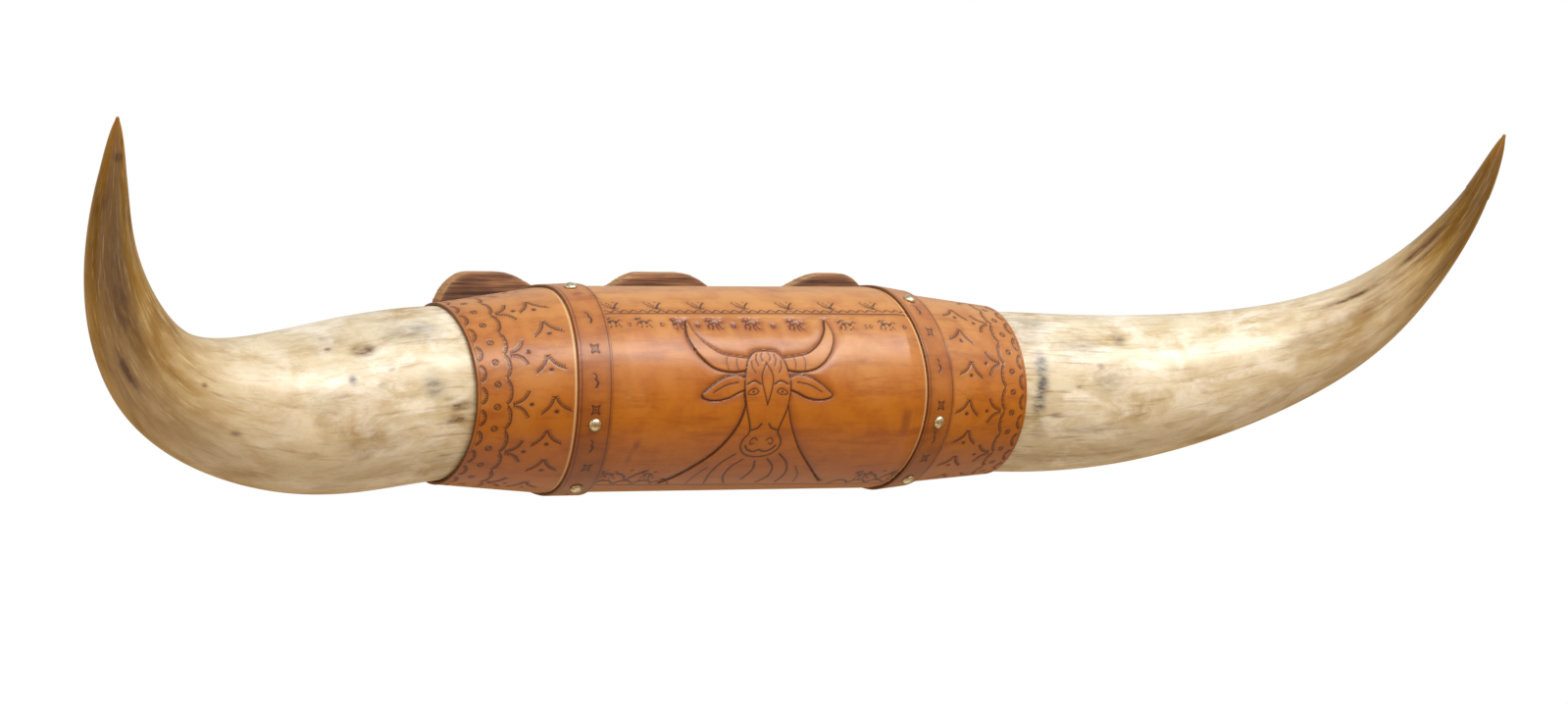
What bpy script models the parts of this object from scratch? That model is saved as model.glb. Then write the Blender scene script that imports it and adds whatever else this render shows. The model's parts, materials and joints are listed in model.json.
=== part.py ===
"""Mounted bull horns: two polished horns on a leather covered core, screwed to a scalloped board.

The board's back lies on the plane Y = 0 and the front faces -Y. Z = 0 is the height of the roll's
axis, X runs along the roll, and left means -X. All sizes are in metres.
"""
import math

import bmesh
import bpy
import numpy as np
from mathutils import Matrix, Vector

# Clearance between pieces that touch, distance under which two points of a mesh are one, and how
# far a cutter stands out of the face that it cuts.
GAP = 0.0003
MERGE = 0.00001
CUTTER_OUT = 0.002

# Board: a plank with three lobes above and three below.
BOARD_THICK = 0.015
BOARD_TOP = 0.077
BOARD_BOTTOM = -0.073
BOARD_HALF_LENGTH = 0.183
LOBE_CENTRES = (-0.141, 0.002, 0.146)
LOBE_FLATS = (0.009, 0.015, 0.004)
VALLEY_DEPTH = 0.024
END_ROUND_LENGTH = 0.030
END_ROUND_HEIGHT = 0.042
BOARD_EDGE_ROUND = 0.002
END_STEPS = 6
LOBE_STEPS = 22

# Roll: round in front, drawn out towards the board behind.
AXIS_TO_BOARD = 0.112
AXIS_Y = -(BOARD_THICK + AXIS_TO_BOARD)
ROLL_RADIUS = 0.074
ROLL_BACK = 0.124
ROLL_STRAIGHT = 0.115
SHOULDER_X = 0.150
CUFF_EDGE_X = 0.225
HORN_SET_BACK = 0.012
HORN_DROP = 0.0035
SHOULDER_SET_BACK = 0.005
SHOULDER_RADIUS = {"left": 0.0735, "right": 0.0699}
CUFF_EDGE_RADIUS = {"left": 0.0650, "right": 0.0628}

# Leather pieces.
LEATHER = 0.0020
STRAP_THICK = 0.0018
STRAP_GAP = 0.0005
STRAP_WIDTH = 0.0254
STRAP_X = 0.134
STRAP_BOW = 0.0075
CUFF_EDGE_BOW = {"left": 0.004, "right": -0.002}
BACK_SEAM = 0.0006

# Columns of points across each sheet, as shares of the way from one edge to the other.
PANEL_COLUMNS = (0.0, 0.33, 0.67, 1.0)
STRAP_COLUMNS = (0.0, 0.33, 0.67, 1.0)
CUFF_COLUMNS = (0.0, 0.05, 0.10, 0.18, 0.55, 1.0)

# Core, and the tenons that start inside it and plug into the horns.
CORE_HALF_LENGTH = SHOULDER_X - GAP
CORE_SHOULDER_STEPS = 5
CORE_GAP = 0.0012
TENON_RADIUS = 0.038
TENON_LENGTH = 0.060
TENON_ROOT = 0.012
TENON_STEPS = 24

# Nails and screws: share of the length where the point starts.
POINT_START = 0.8

# Domed nails: radius and height of the head, shank, and the angle of each above the front.
NAIL_RADIUS = 0.00475
NAIL_HEIGHT = 0.0030
NAIL_RINGS = 4
NAIL_STEPS = 8
NAIL_SHANK = 0.0009
NAIL_LENGTH = 0.014
NAIL_ANGLES = {
    "left": {"top": 80.0, "front": -14.0, "bottom": -62.0},
    "right": {"top": 66.0, "front": -15.0, "bottom": -60.0},
}

# Countersunk screws through the board into the core: places, and how deep the head lies.
SCREW_X = 0.070
SCREW_Z = 0.018
SCREW_SUNK = 0.0005
SCREW_HEAD = 0.0045
SCREW_RIM = 0.0004
SCREW_SHANK = 0.0022
SCREW_LENGTH = 0.045
SCREW_STEPS = 12

# Saw-tooth hanger let into the back of the board, in a recess of HANGER_DEPTH.
HANGER_Z = 0.050
HANGER_LENGTH = 0.064
HANGER_HEIGHT = 0.011
HANGER_THICK = 0.0008
HANGER_CORNER = 0.002
HANGER_DEPTH = 0.0011
HANGER_TEETH = 9
HANGER_TOOTHED = 0.035

# Hollow in front of the hanger for the head of a wall nail: half length, depth from the board's
# back, and how far it goes below and above the strip's lower edge.
HOLLOW_HALF = 0.020
HOLLOW_DEPTH = 0.0039
HOLLOW_BELOW = 0.006
HOLLOW_ABOVE = 0.009

# Round headed screws of the hanger.
HANGER_SCREW_X = 0.027
HANGER_SCREW_HEAD = 0.0025
HANGER_SCREW_RISE = 0.0007
HANGER_SCREW_SHANK = 0.0011
HANGER_SCREW_LENGTH = 0.009

# Stations along each horn: distance out, distance behind the roll's axis, height and radius, in mm.
HORN_STATIONS = {
    "left": [
        (140, 10, -1, 58.5), (190, 12, -2, 61), (240, 12, -4, 62.4), (317, 6, -13, 61),
        (391, -10, -11, 50.5), (456, -35, 12, 37), (501, -68, 62, 25), (526, -106, 110, 16.5),
        (543, -149, 154, 10), (557, -190, 196, 1.2),
    ],
    "right": [
        (140, 10, -1, 57), (190, 12, -3, 59), (241, 12, -5, 60), (316, 6, -4, 57.3),
        (388, -10, 6, 50), (451, -35, 25, 40.3), (504, -68, 56, 29.5), (539, -106, 103, 18.5),
        (551, -149, 155, 9.5), (545, -190, 201, 1.2),
    ],
}
HORN_RINGS = 35
HORN_SIDES_RESOLUTION = 8

# Steps round the roll from the back seam to the front and on to the back again.
ROUND_STEPS = 36
SHARED_TURN = 5.0 / 6.0
SHARED_ANGLE = math.radians(150.0)

SIDES = {"left": -1.0, "right": 1.0}


def clear_scene():
    for item in list(bpy.data.objects):
        bpy.data.objects.remove(item, do_unlink=True)


def make_collection(name):
    found = bpy.data.collections.new(name)
    bpy.context.scene.collection.children.link(found)
    return found


def make_material(name, colour, roughness, metallic=0.0):
    material = bpy.data.materials.new(name)
    material.use_nodes = True
    shader = material.node_tree.nodes["Principled BSDF"]
    shader.inputs["Base Color"].default_value = (*colour, 1.0)
    shader.inputs["Roughness"].default_value = roughness
    shader.inputs["Metallic"].default_value = metallic
    return material


def add_object(name, data, collection, material=None):
    obj = bpy.data.objects.new(name, data)
    collection.objects.link(obj)
    if material is not None:
        data.materials.append(material)
    return obj


def mesh_from(name, bm):
    bmesh.ops.recalc_face_normals(bm, faces=bm.faces)
    mesh = bpy.data.meshes.new(name)
    bm.to_mesh(mesh)
    bm.free()
    return mesh


def shade_round(mesh, angle=40.0):
    mesh.shade_smooth()
    mesh.set_sharp_from_angle(angle=math.radians(angle))


def solid_of_curve(name, curve, collection):
    """Welded shape of a curve, whose object is then removed."""
    guide = add_object(name + "_curve", curve, collection)
    depsgraph = bpy.context.evaluated_depsgraph_get()
    mesh = bpy.data.meshes.new_from_object(guide.evaluated_get(depsgraph))
    bpy.data.objects.remove(guide, do_unlink=True)
    bm = bmesh.new()
    bm.from_mesh(mesh)
    bmesh.ops.remove_doubles(bm, verts=bm.verts, dist=MERGE)
    return bm


def upright_plate(name, outline, thickness, collection):
    """Plate cut to an outline of (x, z) points, with the plane Y = 0 through its middle."""
    curve = bpy.data.curves.new(name, "CURVE")
    curve.dimensions = "2D"
    curve.fill_mode = "BOTH"
    curve.extrude = 0.5 * thickness
    spline = curve.splines.new("POLY")
    spline.points.add(len(outline) - 1)
    for point, (x, z) in zip(spline.points, outline):
        point.co = (x, z, 0.0, 1.0)
    spline.use_cyclic_u = True
    bm = solid_of_curve(name, curve, collection)
    bmesh.ops.transform(bm, matrix=Matrix.Rotation(math.radians(90.0), 4, "X"), verts=bm.verts)
    return bm


def add_boolean(obj, operand, operation="DIFFERENCE"):
    """Cut or join with one object, or with every object of a collection."""
    modifier = obj.modifiers.new(operation.lower(), "BOOLEAN")
    modifier.operation = operation
    modifier.solver = "EXACT"
    if isinstance(operand, bpy.types.Collection):
        modifier.operand_type = "COLLECTION"
        modifier.collection = operand
    else:
        modifier.object = operand


def add_cutter(name, mesh, matrix, collection):
    cutter = add_object(name, mesh, collection)
    cutter.matrix_world = matrix
    cutter.hide_render = True
    cutter.display_type = "WIRE"
    return cutter


def add_drill(name, shank, length, matrix, collection):
    """Round cutter for a nail's or screw's hole, as long before the head as behind it."""
    bm = bmesh.new()
    radius = shank + GAP
    bmesh.ops.create_cone(
        bm, cap_ends=True, segments=NAIL_STEPS, radius1=radius, radius2=radius,
        depth=2.0 * (length + GAP),
    )
    return add_cutter(name + "_hole", mesh_from(name + "_hole", bm), matrix, collection)


def smoothstep(value):
    clamped = min(max(value, 0.0), 1.0)
    return clamped * clamped * (3.0 - 2.0 * clamped)


def between(value, start, end, low, high):
    """Value from low to high as the position goes from start to end."""
    share = min(max((value - start) / (end - start), 0.0), 1.0)
    return low + (high - low) * share


def side_of(x):
    return "left" if x < 0.0 else "right"


def roll_section(x):
    """Set-back of the centre, radius in front and half depth behind, at a place along the roll."""
    side = side_of(x)
    out = abs(x)
    radius = between(out, ROLL_STRAIGHT, SHOULDER_X, ROLL_RADIUS, SHOULDER_RADIUS[side])
    set_back = between(out, ROLL_STRAIGHT, SHOULDER_X, 0.0, SHOULDER_SET_BACK)
    if out > SHOULDER_X:
        radius = between(out, SHOULDER_X, CUFF_EDGE_X, SHOULDER_RADIUS[side], CUFF_EDGE_RADIUS[side])
        set_back = between(out, SHOULDER_X, CUFF_EDGE_X, SHOULDER_SET_BACK, HORN_SET_BACK)
    back = between(out, ROLL_STRAIGHT, CUFF_EDGE_X, ROLL_BACK, CUFF_EDGE_RADIUS[side])
    return set_back, radius, back


def wrap_limit(x, proud):
    """Largest angle from the front that the leather reaches before the board, or its back seam."""
    set_back, _, back = roll_section(x)
    reach = (AXIS_TO_BOARD - GAP - set_back) / (back + proud)
    seam = math.pi - 0.5 * BACK_SEAM / (back + proud)
    return min(math.acos(-min(reach, 1.0)), seam)


def spread_angle(turn, x, proud):
    """Angle for a turn of -1 to 1: even steps over most of the way round, then on to the edge."""
    shared = min(abs(turn) / SHARED_TURN, 1.0) * SHARED_ANGLE
    rest = max(abs(turn) - SHARED_TURN, 0.0) / (1.0 - SHARED_TURN)
    angle = shared + rest * (wrap_limit(x, proud) - SHARED_ANGLE)
    return math.copysign(angle, turn)


def roll_point(x, angle, proud):
    """Point on the roll's outside; angle 0 is the front and a quarter turn is the top."""
    set_back, radius, back = roll_section(x)
    depth = radius if math.cos(angle) > 0.0 else back
    y = AXIS_Y + set_back - (depth + proud) * math.cos(angle)
    drop = between(abs(x), ROLL_STRAIGHT, CUFF_EDGE_X, 0.0, HORN_DROP)
    return Vector((x, y, (radius + proud) * math.sin(angle) - drop))


def strap_centre(angle):
    """Distance out of a strap's middle line: its front stands further out than its top."""
    return STRAP_X + STRAP_BOW * max(math.cos(angle), 0.0) ** 2


def wrapped_sheet(name, columns, proud, thickness, reach, collection, material):
    """Leather sheet wrapped round the roll; each column gives x for an angle from the front.

    A reach of 1 goes all the way to the board or the back seam, and a smaller one stops short of it.
    """
    bm = bmesh.new()
    rows = []
    steps = round(0.5 * ROUND_STEPS * reach)
    for step in range(-steps, steps + 1):
        turn = 2.0 * step / ROUND_STEPS
        row = []
        for column in columns:
            angle = spread_angle(turn, column(turn * math.pi), proud)
            row.append(bm.verts.new(roll_point(column(angle), angle, proud)))
        rows.append(row)
    for low, high in zip(rows, rows[1:]):
        for index in range(len(columns) - 1):
            bm.faces.new((low[index], low[index + 1], high[index + 1], high[index]))
    mesh = bpy.data.meshes.new(name)
    bm.to_mesh(mesh)
    bm.free()
    shade_round(mesh)
    obj = add_object(name, mesh, collection, material)
    solidify = obj.modifiers.new("thickness", "SOLIDIFY")
    solidify.thickness = thickness
    solidify.offset = -1.0
    solidify.use_even_offset = True
    return obj


def column_at(sign, start, end, share):
    """Column a share of the way between two edges, given as distances out for an angle."""
    def place(angle):
        return sign * (start(angle) + (end(angle) - start(angle)) * share)
    return place


def columns_across(side, inner, outer, shares):
    """Columns of a sheet on one side, from left to right."""
    columns = [column_at(SIDES[side], inner, outer, share) for share in shares]
    if side == "left":
        columns.reverse()
    return columns


def make_panel(collection, material):
    """Centre sheet, whose ends meet the cuffs under the straps' middle lines."""
    def seam(angle):
        return strap_centre(angle) - GAP

    def straight(angle):
        return ROLL_STRAIGHT
    columns = [column_at(-1.0, seam, straight, share) for share in PANEL_COLUMNS]
    columns += [column_at(1.0, seam, straight, share) for share in reversed(PANEL_COLUMNS)]
    return wrapped_sheet("centre_panel", columns, 0.0, LEATHER, 1.0, collection, material)


def make_cuff(side, collection, material):
    """Tapered sheet from a strap's middle line out over the foot of the horn."""
    def seam(angle):
        return strap_centre(angle) + GAP

    def outer(angle):
        return CUFF_EDGE_X + CUFF_EDGE_BOW[side] * math.sin(angle) ** 2
    columns = columns_across(side, seam, outer, CUFF_COLUMNS)
    return wrapped_sheet("cuff_" + side, columns, 0.0, LEATHER, 1.0, collection, material)


def make_strap(side, collection, material):
    """Band over the joint between panel and cuff."""
    def inner(angle):
        return strap_centre(angle) - 0.5 * STRAP_WIDTH

    def outer(angle):
        return strap_centre(angle) + 0.5 * STRAP_WIDTH
    columns = columns_across(side, inner, outer, STRAP_COLUMNS)
    proud = STRAP_GAP + STRAP_THICK
    name = "strap_" + side
    return wrapped_sheet(name, columns, proud, STRAP_THICK, SHARED_TURN, collection, material)


def make_core(collection, material):
    """Wooden block inside the leather, with its flat back on the board."""
    bm = bmesh.new()
    inset = -(LEATHER + CORE_GAP)
    rings = []
    outward = list(np.linspace(ROLL_STRAIGHT, CORE_HALF_LENGTH, CORE_SHOULDER_STEPS + 1))
    for x in [-out for out in reversed(outward)] + outward:
        ring = []
        for step in range(0, ROUND_STEPS + 1, 2):
            angle = spread_angle(2.0 * step / ROUND_STEPS - 1.0, x, inset)
            ring.append(bm.verts.new(roll_point(x, angle, inset)))
        rings.append(ring)
    for low, high in zip(rings, rings[1:]):
        for index in range(len(low)):
            following = (index + 1) % len(low)
            bm.faces.new((low[index], high[index], high[following], low[following]))
    bm.faces.new(rings[0])
    bm.faces.new(reversed(rings[-1]))
    mesh = mesh_from("core", bm)
    shade_round(mesh)
    return add_object("core", mesh, collection, material)


def make_plug(name, sign, grow, collection):
    """Round tenon that starts inside the core's end, or its socket when grow is over 0."""
    bm = bmesh.new()
    radius = TENON_RADIUS + grow
    length = TENON_ROOT + TENON_LENGTH + grow
    bmesh.ops.create_cone(
        bm, cap_ends=True, segments=TENON_STEPS, radius1=radius, radius2=radius, depth=length,
    )
    mesh = mesh_from(name, bm)
    start = CORE_HALF_LENGTH - TENON_ROOT
    middle = Vector((sign * (start + 0.5 * length), AXIS_Y + HORN_SET_BACK, 0.0))
    matrix = Matrix.Translation(middle) @ Matrix.Rotation(math.radians(90.0), 4, "Y")
    return add_cutter(name, mesh, matrix, collection)


def spline_stations(stations, count):
    """Natural cubic spline through the stations, read at even steps along its length."""
    points = np.array(stations, dtype=float)
    steps = np.linalg.norm(np.diff(points[:, :3], axis=0), axis=1)
    run = np.concatenate([[0.0], np.cumsum(steps)])
    size = len(run)
    system = np.eye(size)
    wanted = np.zeros_like(points)
    for i in range(1, size - 1):
        system[i, i - 1:i + 2] = steps[i - 1], 2.0 * (steps[i - 1] + steps[i]), steps[i]
        slope_after = (points[i + 1] - points[i]) / steps[i]
        slope_before = (points[i] - points[i - 1]) / steps[i - 1]
        wanted[i] = 6.0 * (slope_after - slope_before)
    bend = np.linalg.solve(system, wanted)
    places = np.linspace(0.0, run[-1], count)
    k = np.clip(np.searchsorted(run, places, side="right") - 1, 0, size - 2)
    after = (run[k + 1] - places)[:, None]
    before = (places - run[k])[:, None]
    step = steps[k][:, None]
    curved = (bend[k] * after ** 3 + bend[k + 1] * before ** 3) / (6.0 * step)
    straight = (points[k] / step - bend[k] * step / 6.0) * after
    return curved + straight + (points[k + 1] / step - bend[k + 1] * step / 6.0) * before


def make_horn(side, socket, collection, material):
    """One horn: a tapered curve, cut flat at its foot and bored for the core's tenon."""
    name = "horn_" + side
    curve = bpy.data.curves.new(name, "CURVE")
    curve.dimensions = "3D"
    curve.bevel_depth = 1.0
    curve.bevel_resolution = HORN_SIDES_RESOLUTION
    curve.use_fill_caps = True
    spline = curve.splines.new("POLY")
    rows = spline_stations(HORN_STATIONS[side], HORN_RINGS) / 1000.0
    spline.points.add(len(rows) - 1)
    for point, (out, behind, height, radius) in zip(spline.points, rows):
        point.co = (SIDES[side] * out, AXIS_Y + behind, height, 1.0)
        point.radius = radius
    bm = solid_of_curve(name, curve, collection)
    foot = Vector((SIDES[side] * (CORE_HALF_LENGTH + GAP), 0.0, 0.0))
    cut = bmesh.ops.bisect_plane(
        bm, geom=bm.verts[:] + bm.edges[:] + bm.faces[:], plane_co=foot,
        plane_no=Vector((SIDES[side], 0.0, 0.0)), clear_inner=True,
    )
    rim = [item for item in cut["geom_cut"] if isinstance(item, bmesh.types.BMEdge)]
    bmesh.ops.contextual_create(bm, geom=rim)
    mesh = mesh_from(name, bm)
    shade_round(mesh)
    obj = add_object(name, mesh, collection, material)
    add_boolean(obj, socket)
    return obj


def board_outline():
    """Outline of the board, round from its right end: lobes above, then the same lobes below."""
    flat_end = BOARD_HALF_LENGTH - END_ROUND_LENGTH
    upper = []
    for step in range(END_STEPS):
        turn = 0.5 * math.pi * step / END_STEPS
        x = flat_end + END_ROUND_LENGTH * math.cos(turn)
        drop = END_ROUND_HEIGHT * (1.0 - math.sin(turn))
        upper.append((x, drop))
    for step in range(LOBE_STEPS + 1):
        x = flat_end * (1.0 - 2.0 * step / LOBE_STEPS)
        upper.append((x, lobe_drop(x)))
    upper += [(-x, drop) for x, drop in reversed(upper[:END_STEPS])]
    outline = [(x, BOARD_TOP - drop) for x, drop in upper]
    outline += [(x, BOARD_BOTTOM + drop) for x, drop in reversed(upper)]
    return outline


def lobe_drop(x):
    """How far the board's edge lies below the top of the nearest lobe."""
    nearest = min(range(len(LOBE_CENTRES)), key=lambda index: abs(x - LOBE_CENTRES[index]))
    centre = LOBE_CENTRES[nearest]
    flat = LOBE_FLATS[nearest]
    if abs(x) > abs(centre) and nearest != 1:
        return 0.0
    neighbour = LOBE_CENTRES[nearest + (1 if x > centre else -1)]
    valley = 0.5 * abs(neighbour - centre)
    return VALLEY_DEPTH * smoothstep((abs(x - centre) - flat) / (valley - flat))


def make_board(collection, material):
    """Plank sawn to the lobed outline, with its edges taken off."""
    bm = upright_plate("backboard", board_outline(), BOARD_THICK, collection)
    bmesh.ops.dissolve_limit(bm, angle_limit=math.radians(0.5), verts=bm.verts, edges=bm.edges)
    board = add_object("backboard", mesh_from("backboard", bm), collection, material)
    board.location = (0.0, -0.5 * BOARD_THICK, 0.0)
    bevel = board.modifiers.new("edge", "BEVEL")
    bevel.width = BOARD_EDGE_ROUND
    bevel.segments = 1
    bevel.limit_method = "ANGLE"
    bevel.angle_limit = math.radians(50.0)
    return board


def turned(name, profile, steps, matrix, collection, material=None):
    """Solid turned from a profile of (radius, height) pairs that runs from top to bottom."""
    bm = bmesh.new()
    verts = [bm.verts.new((radius, 0.0, height)) for radius, height in profile]
    for first, second in zip(verts, verts[1:]):
        bm.edges.new((first, second))
    mesh = bpy.data.meshes.new(name)
    bm.to_mesh(mesh)
    bm.free()
    obj = add_object(name, mesh, collection, material)
    obj.matrix_world = matrix
    screw = obj.modifiers.new("turn", "SCREW")
    screw.steps = steps
    screw.render_steps = steps
    screw.use_merge_vertices = True
    screw.merge_threshold = MERGE
    screw.use_smooth_shade = True
    return obj


def surface_frame(side, angle, proud):
    """Frame with Z out of the roll's surface at a strap's middle line."""
    x = SIDES[side] * strap_centre(angle)
    origin = roll_point(x, angle, proud)
    nudge = 0.001
    along = roll_point(x + nudge, angle, proud) - origin
    around = roll_point(x, angle + nudge, proud) - origin
    normal = along.cross(around).normalized()
    if normal.dot(Vector((0.0, -math.cos(angle), math.sin(angle)))) < 0.0:
        normal.negate()
    return Matrix.Translation(origin) @ normal.to_track_quat("Z", "X").to_matrix().to_4x4()


def make_nails(collection, cutters, material):
    """Domed nails through strap and leather into the core, and the holes that they pass through."""
    head = [(NAIL_RADIUS * math.sin(turn), NAIL_HEIGHT * math.cos(turn))
            for turn in np.linspace(0.0, 0.5 * math.pi, NAIL_RINGS)]
    shank = [(NAIL_SHANK, 0.0), (NAIL_SHANK, -POINT_START * NAIL_LENGTH), (0.0, -NAIL_LENGTH)]
    proud = GAP + STRAP_GAP + STRAP_THICK
    for side, places in NAIL_ANGLES.items():
        for place, degrees in places.items():
            frame = surface_frame(side, math.radians(degrees), proud)
            name = "nail_" + side + "_" + place
            turned(name, head + shank, NAIL_STEPS, frame, collection, material)
            add_drill(name, NAIL_SHANK, NAIL_LENGTH, frame, cutters)


def screw_profile(top, grow):
    """Countersunk screw from its head to its point, or its hole when grow is over 0."""
    return [
        (0.0, top), (SCREW_HEAD + grow, top), (SCREW_HEAD + grow, -SCREW_RIM),
        (SCREW_SHANK + grow, SCREW_SHANK - SCREW_HEAD),
        (SCREW_SHANK + grow, -POINT_START * SCREW_LENGTH - grow), (0.0, -SCREW_LENGTH - grow),
    ]


def make_board_screws(collection, cutters, material):
    """Four screws from the back of the board into the core; local -Z runs towards the front."""
    turn = Matrix.Rotation(math.radians(-90.0), 4, "X")
    for index in range(4):
        x = SCREW_X if index % 2 else -SCREW_X
        z = SCREW_Z if index < 2 else -SCREW_Z
        matrix = Matrix.Translation((x, -SCREW_SUNK, z)) @ turn
        name = "board_screw_" + str(index + 1)
        turned(name, screw_profile(0.0, 0.0), SCREW_STEPS, matrix, collection, material)
        hole = screw_profile(CUTTER_OUT, GAP)
        cutter = turned(name + "_hole", hole, SCREW_STEPS, matrix, cutters)
        cutter.hide_render = True
        cutter.display_type = "WIRE"


def box_cutter(name, low, high, collection):
    bm = bmesh.new()
    bmesh.ops.create_cube(bm, size=1.0)
    low = Vector(low)
    high = Vector(high)
    bmesh.ops.scale(bm, vec=high - low, verts=bm.verts)
    middle = Matrix.Translation(0.5 * (low + high))
    return add_cutter(name, mesh_from(name, bm), middle, collection)


def hanger_outline():
    """Strip with saw teeth along the middle of its lower edge."""
    half = 0.5 * HANGER_LENGTH
    inner = half - HANGER_CORNER
    outline = [(half, HANGER_CORNER), (half, HANGER_HEIGHT - HANGER_CORNER), (inner, HANGER_HEIGHT)]
    outline += [(-x, z) for x, z in reversed(outline)]
    outline += [(-inner, 0.0)]
    step = HANGER_TOOTHED / HANGER_TEETH
    for index in range(HANGER_TEETH):
        left = -0.5 * HANGER_TOOTHED + index * step
        outline += [(left, 0.0), (left + 0.5 * step, 0.5 * step)]
    outline += [(0.5 * HANGER_TOOTHED, 0.0), (inner, 0.0)]
    return outline


def make_hanger(collection, cutters, material):
    """Toothed steel strip in a shallow recess, over a deeper hollow for the head of a wall nail."""
    bm = upright_plate("hanger", hanger_outline(), HANGER_THICK, collection)
    strip = add_object("hanger", mesh_from("hanger", bm), collection, material)
    low = HANGER_Z - 0.5 * HANGER_HEIGHT
    strip.location = (0.0, -HANGER_DEPTH - 0.5 * HANGER_THICK, low)
    half = 0.5 * HANGER_LENGTH + GAP
    bed = HANGER_DEPTH + HANGER_THICK + GAP
    box_cutter("hanger_recess", (-half, -bed, low - GAP),
               (half, CUTTER_OUT, low + HANGER_HEIGHT + GAP), cutters)
    box_cutter("hanger_hollow", (-HOLLOW_HALF, -HOLLOW_DEPTH, low - HOLLOW_BELOW),
               (HOLLOW_HALF, CUTTER_OUT, low + HOLLOW_ABOVE), cutters)
    turn = Matrix.Rotation(math.radians(-90.0), 4, "X")
    head = HANGER_SCREW_HEAD
    rise = HANGER_SCREW_RISE
    shank = HANGER_SCREW_SHANK
    profile = [
        (0.0, rise), (0.6 * head, 0.8 * rise), (head, 0.2 * rise), (head, 0.0), (shank, 0.0),
        (shank, -POINT_START * HANGER_SCREW_LENGTH), (0.0, -HANGER_SCREW_LENGTH),
    ]
    holes = make_collection("hanger_holes")
    for side, sign in SIDES.items():
        place = (sign * HANGER_SCREW_X, GAP - HANGER_DEPTH, low + 0.5 * HANGER_HEIGHT)
        matrix = Matrix.Translation(place) @ turn
        name = "hanger_screw_" + side
        turned(name, profile, NAIL_STEPS, matrix, collection, material)
        add_drill(name, shank, HANGER_SCREW_LENGTH, matrix, holes)
    add_boolean(strip, holes)
    return holes


def main():
    clear_scene()
    parts = make_collection("mounted_bull_horns")
    plugs = make_collection("plug_cutters")
    nail_holes = make_collection("nail_holes")
    board_cutters = make_collection("board_cutters")

    horn = make_material("polished_horn", (0.72, 0.62, 0.44), 0.3)
    leather = make_material("tooled_leather", (0.55, 0.23, 0.06), 0.45)
    strap_leather = make_material("strap_leather", (0.42, 0.16, 0.05), 0.45)
    wood = make_material("weathered_board", (0.13, 0.07, 0.045), 0.7)
    core_wood = make_material("core_timber", (0.55, 0.40, 0.24), 0.8)
    nickel = make_material("nickel_plate", (0.72, 0.68, 0.58), 0.2, 1.0)
    zinc = make_material("zinc_plate", (0.60, 0.60, 0.58), 0.35, 1.0)

    board = make_board(parts, wood)
    core = make_core(parts, core_wood)
    panel = make_panel(parts, leather)
    make_nails(parts, nail_holes, nickel)
    make_board_screws(parts, board_cutters, zinc)
    add_boolean(core, board_cutters)
    hanger_holes = make_hanger(parts, board_cutters, zinc)
    add_boolean(board, board_cutters)
    add_boolean(board, hanger_holes)
    add_boolean(panel, nail_holes)
    for side, sign in SIDES.items():
        cuff = make_cuff(side, parts, leather)
        strap = make_strap(side, parts, strap_leather)
        tenon = make_plug("tenon_" + side, sign, 0.0, plugs)
        socket = make_plug("socket_" + side, sign, GAP, plugs)
        make_horn(side, socket, parts, horn)
        add_boolean(core, tenon, "UNION")
        add_boolean(cuff, nail_holes)
        add_boolean(strap, nail_holes)
    add_boolean(core, nail_holes)


main()
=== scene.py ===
"""Looks of the mounted bull horns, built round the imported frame.

Metres; the board's back lies on Y = 0, the front faces -Y, and Z = 0 is the leather roll's axis.
"""

import json
import math
from functools import partial

import bmesh
import bpy
import numpy as np
from mathutils import Matrix, Vector, noise

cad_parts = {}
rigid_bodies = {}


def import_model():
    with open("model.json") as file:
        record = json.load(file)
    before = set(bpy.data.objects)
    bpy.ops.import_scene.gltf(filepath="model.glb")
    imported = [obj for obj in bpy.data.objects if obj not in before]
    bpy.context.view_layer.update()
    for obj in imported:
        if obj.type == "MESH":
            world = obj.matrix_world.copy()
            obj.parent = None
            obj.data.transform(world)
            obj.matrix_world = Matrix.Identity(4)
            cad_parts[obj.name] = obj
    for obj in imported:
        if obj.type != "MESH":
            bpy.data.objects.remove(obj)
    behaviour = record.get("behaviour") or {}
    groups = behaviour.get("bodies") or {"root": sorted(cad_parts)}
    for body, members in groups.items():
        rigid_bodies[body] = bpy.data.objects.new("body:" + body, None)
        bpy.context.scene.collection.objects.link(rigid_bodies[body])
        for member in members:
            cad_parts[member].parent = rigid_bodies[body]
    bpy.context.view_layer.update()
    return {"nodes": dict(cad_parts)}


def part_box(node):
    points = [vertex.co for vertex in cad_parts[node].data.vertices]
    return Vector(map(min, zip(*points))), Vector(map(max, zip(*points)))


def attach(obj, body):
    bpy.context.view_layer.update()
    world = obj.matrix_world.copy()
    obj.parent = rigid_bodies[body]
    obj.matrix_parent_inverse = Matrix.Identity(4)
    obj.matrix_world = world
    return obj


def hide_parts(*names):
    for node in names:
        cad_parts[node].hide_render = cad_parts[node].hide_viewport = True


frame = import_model()


# Studio: a white backdrop, a pale floor far below, a wide soft box in front of and above the
# piece, a smaller one to the right and a warm low one to the left. The camera stands to the left
# of the middle and looks slightly down, with a long lens.
PHOTO_WIDTH = 1599
PHOTO_MIDDLE = (800.0, 359.0)
FOCAL_PIXELS = 6000.0
PIXELS_PER_METRE = 1400.0
AIM_PIXEL = (741.0, 396.0)
AIM = Vector((0.0, -0.127, 0.0))
CAMERA_TURN = math.radians(28.5)
CAMERA_RISE = math.radians(4.0)
CAMERA_ROLL = math.radians(2.0)
SENSOR_WIDTH = 36.0
FLOOR_Z = -2.2
FLOOR_SIZE = 4.5


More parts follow.
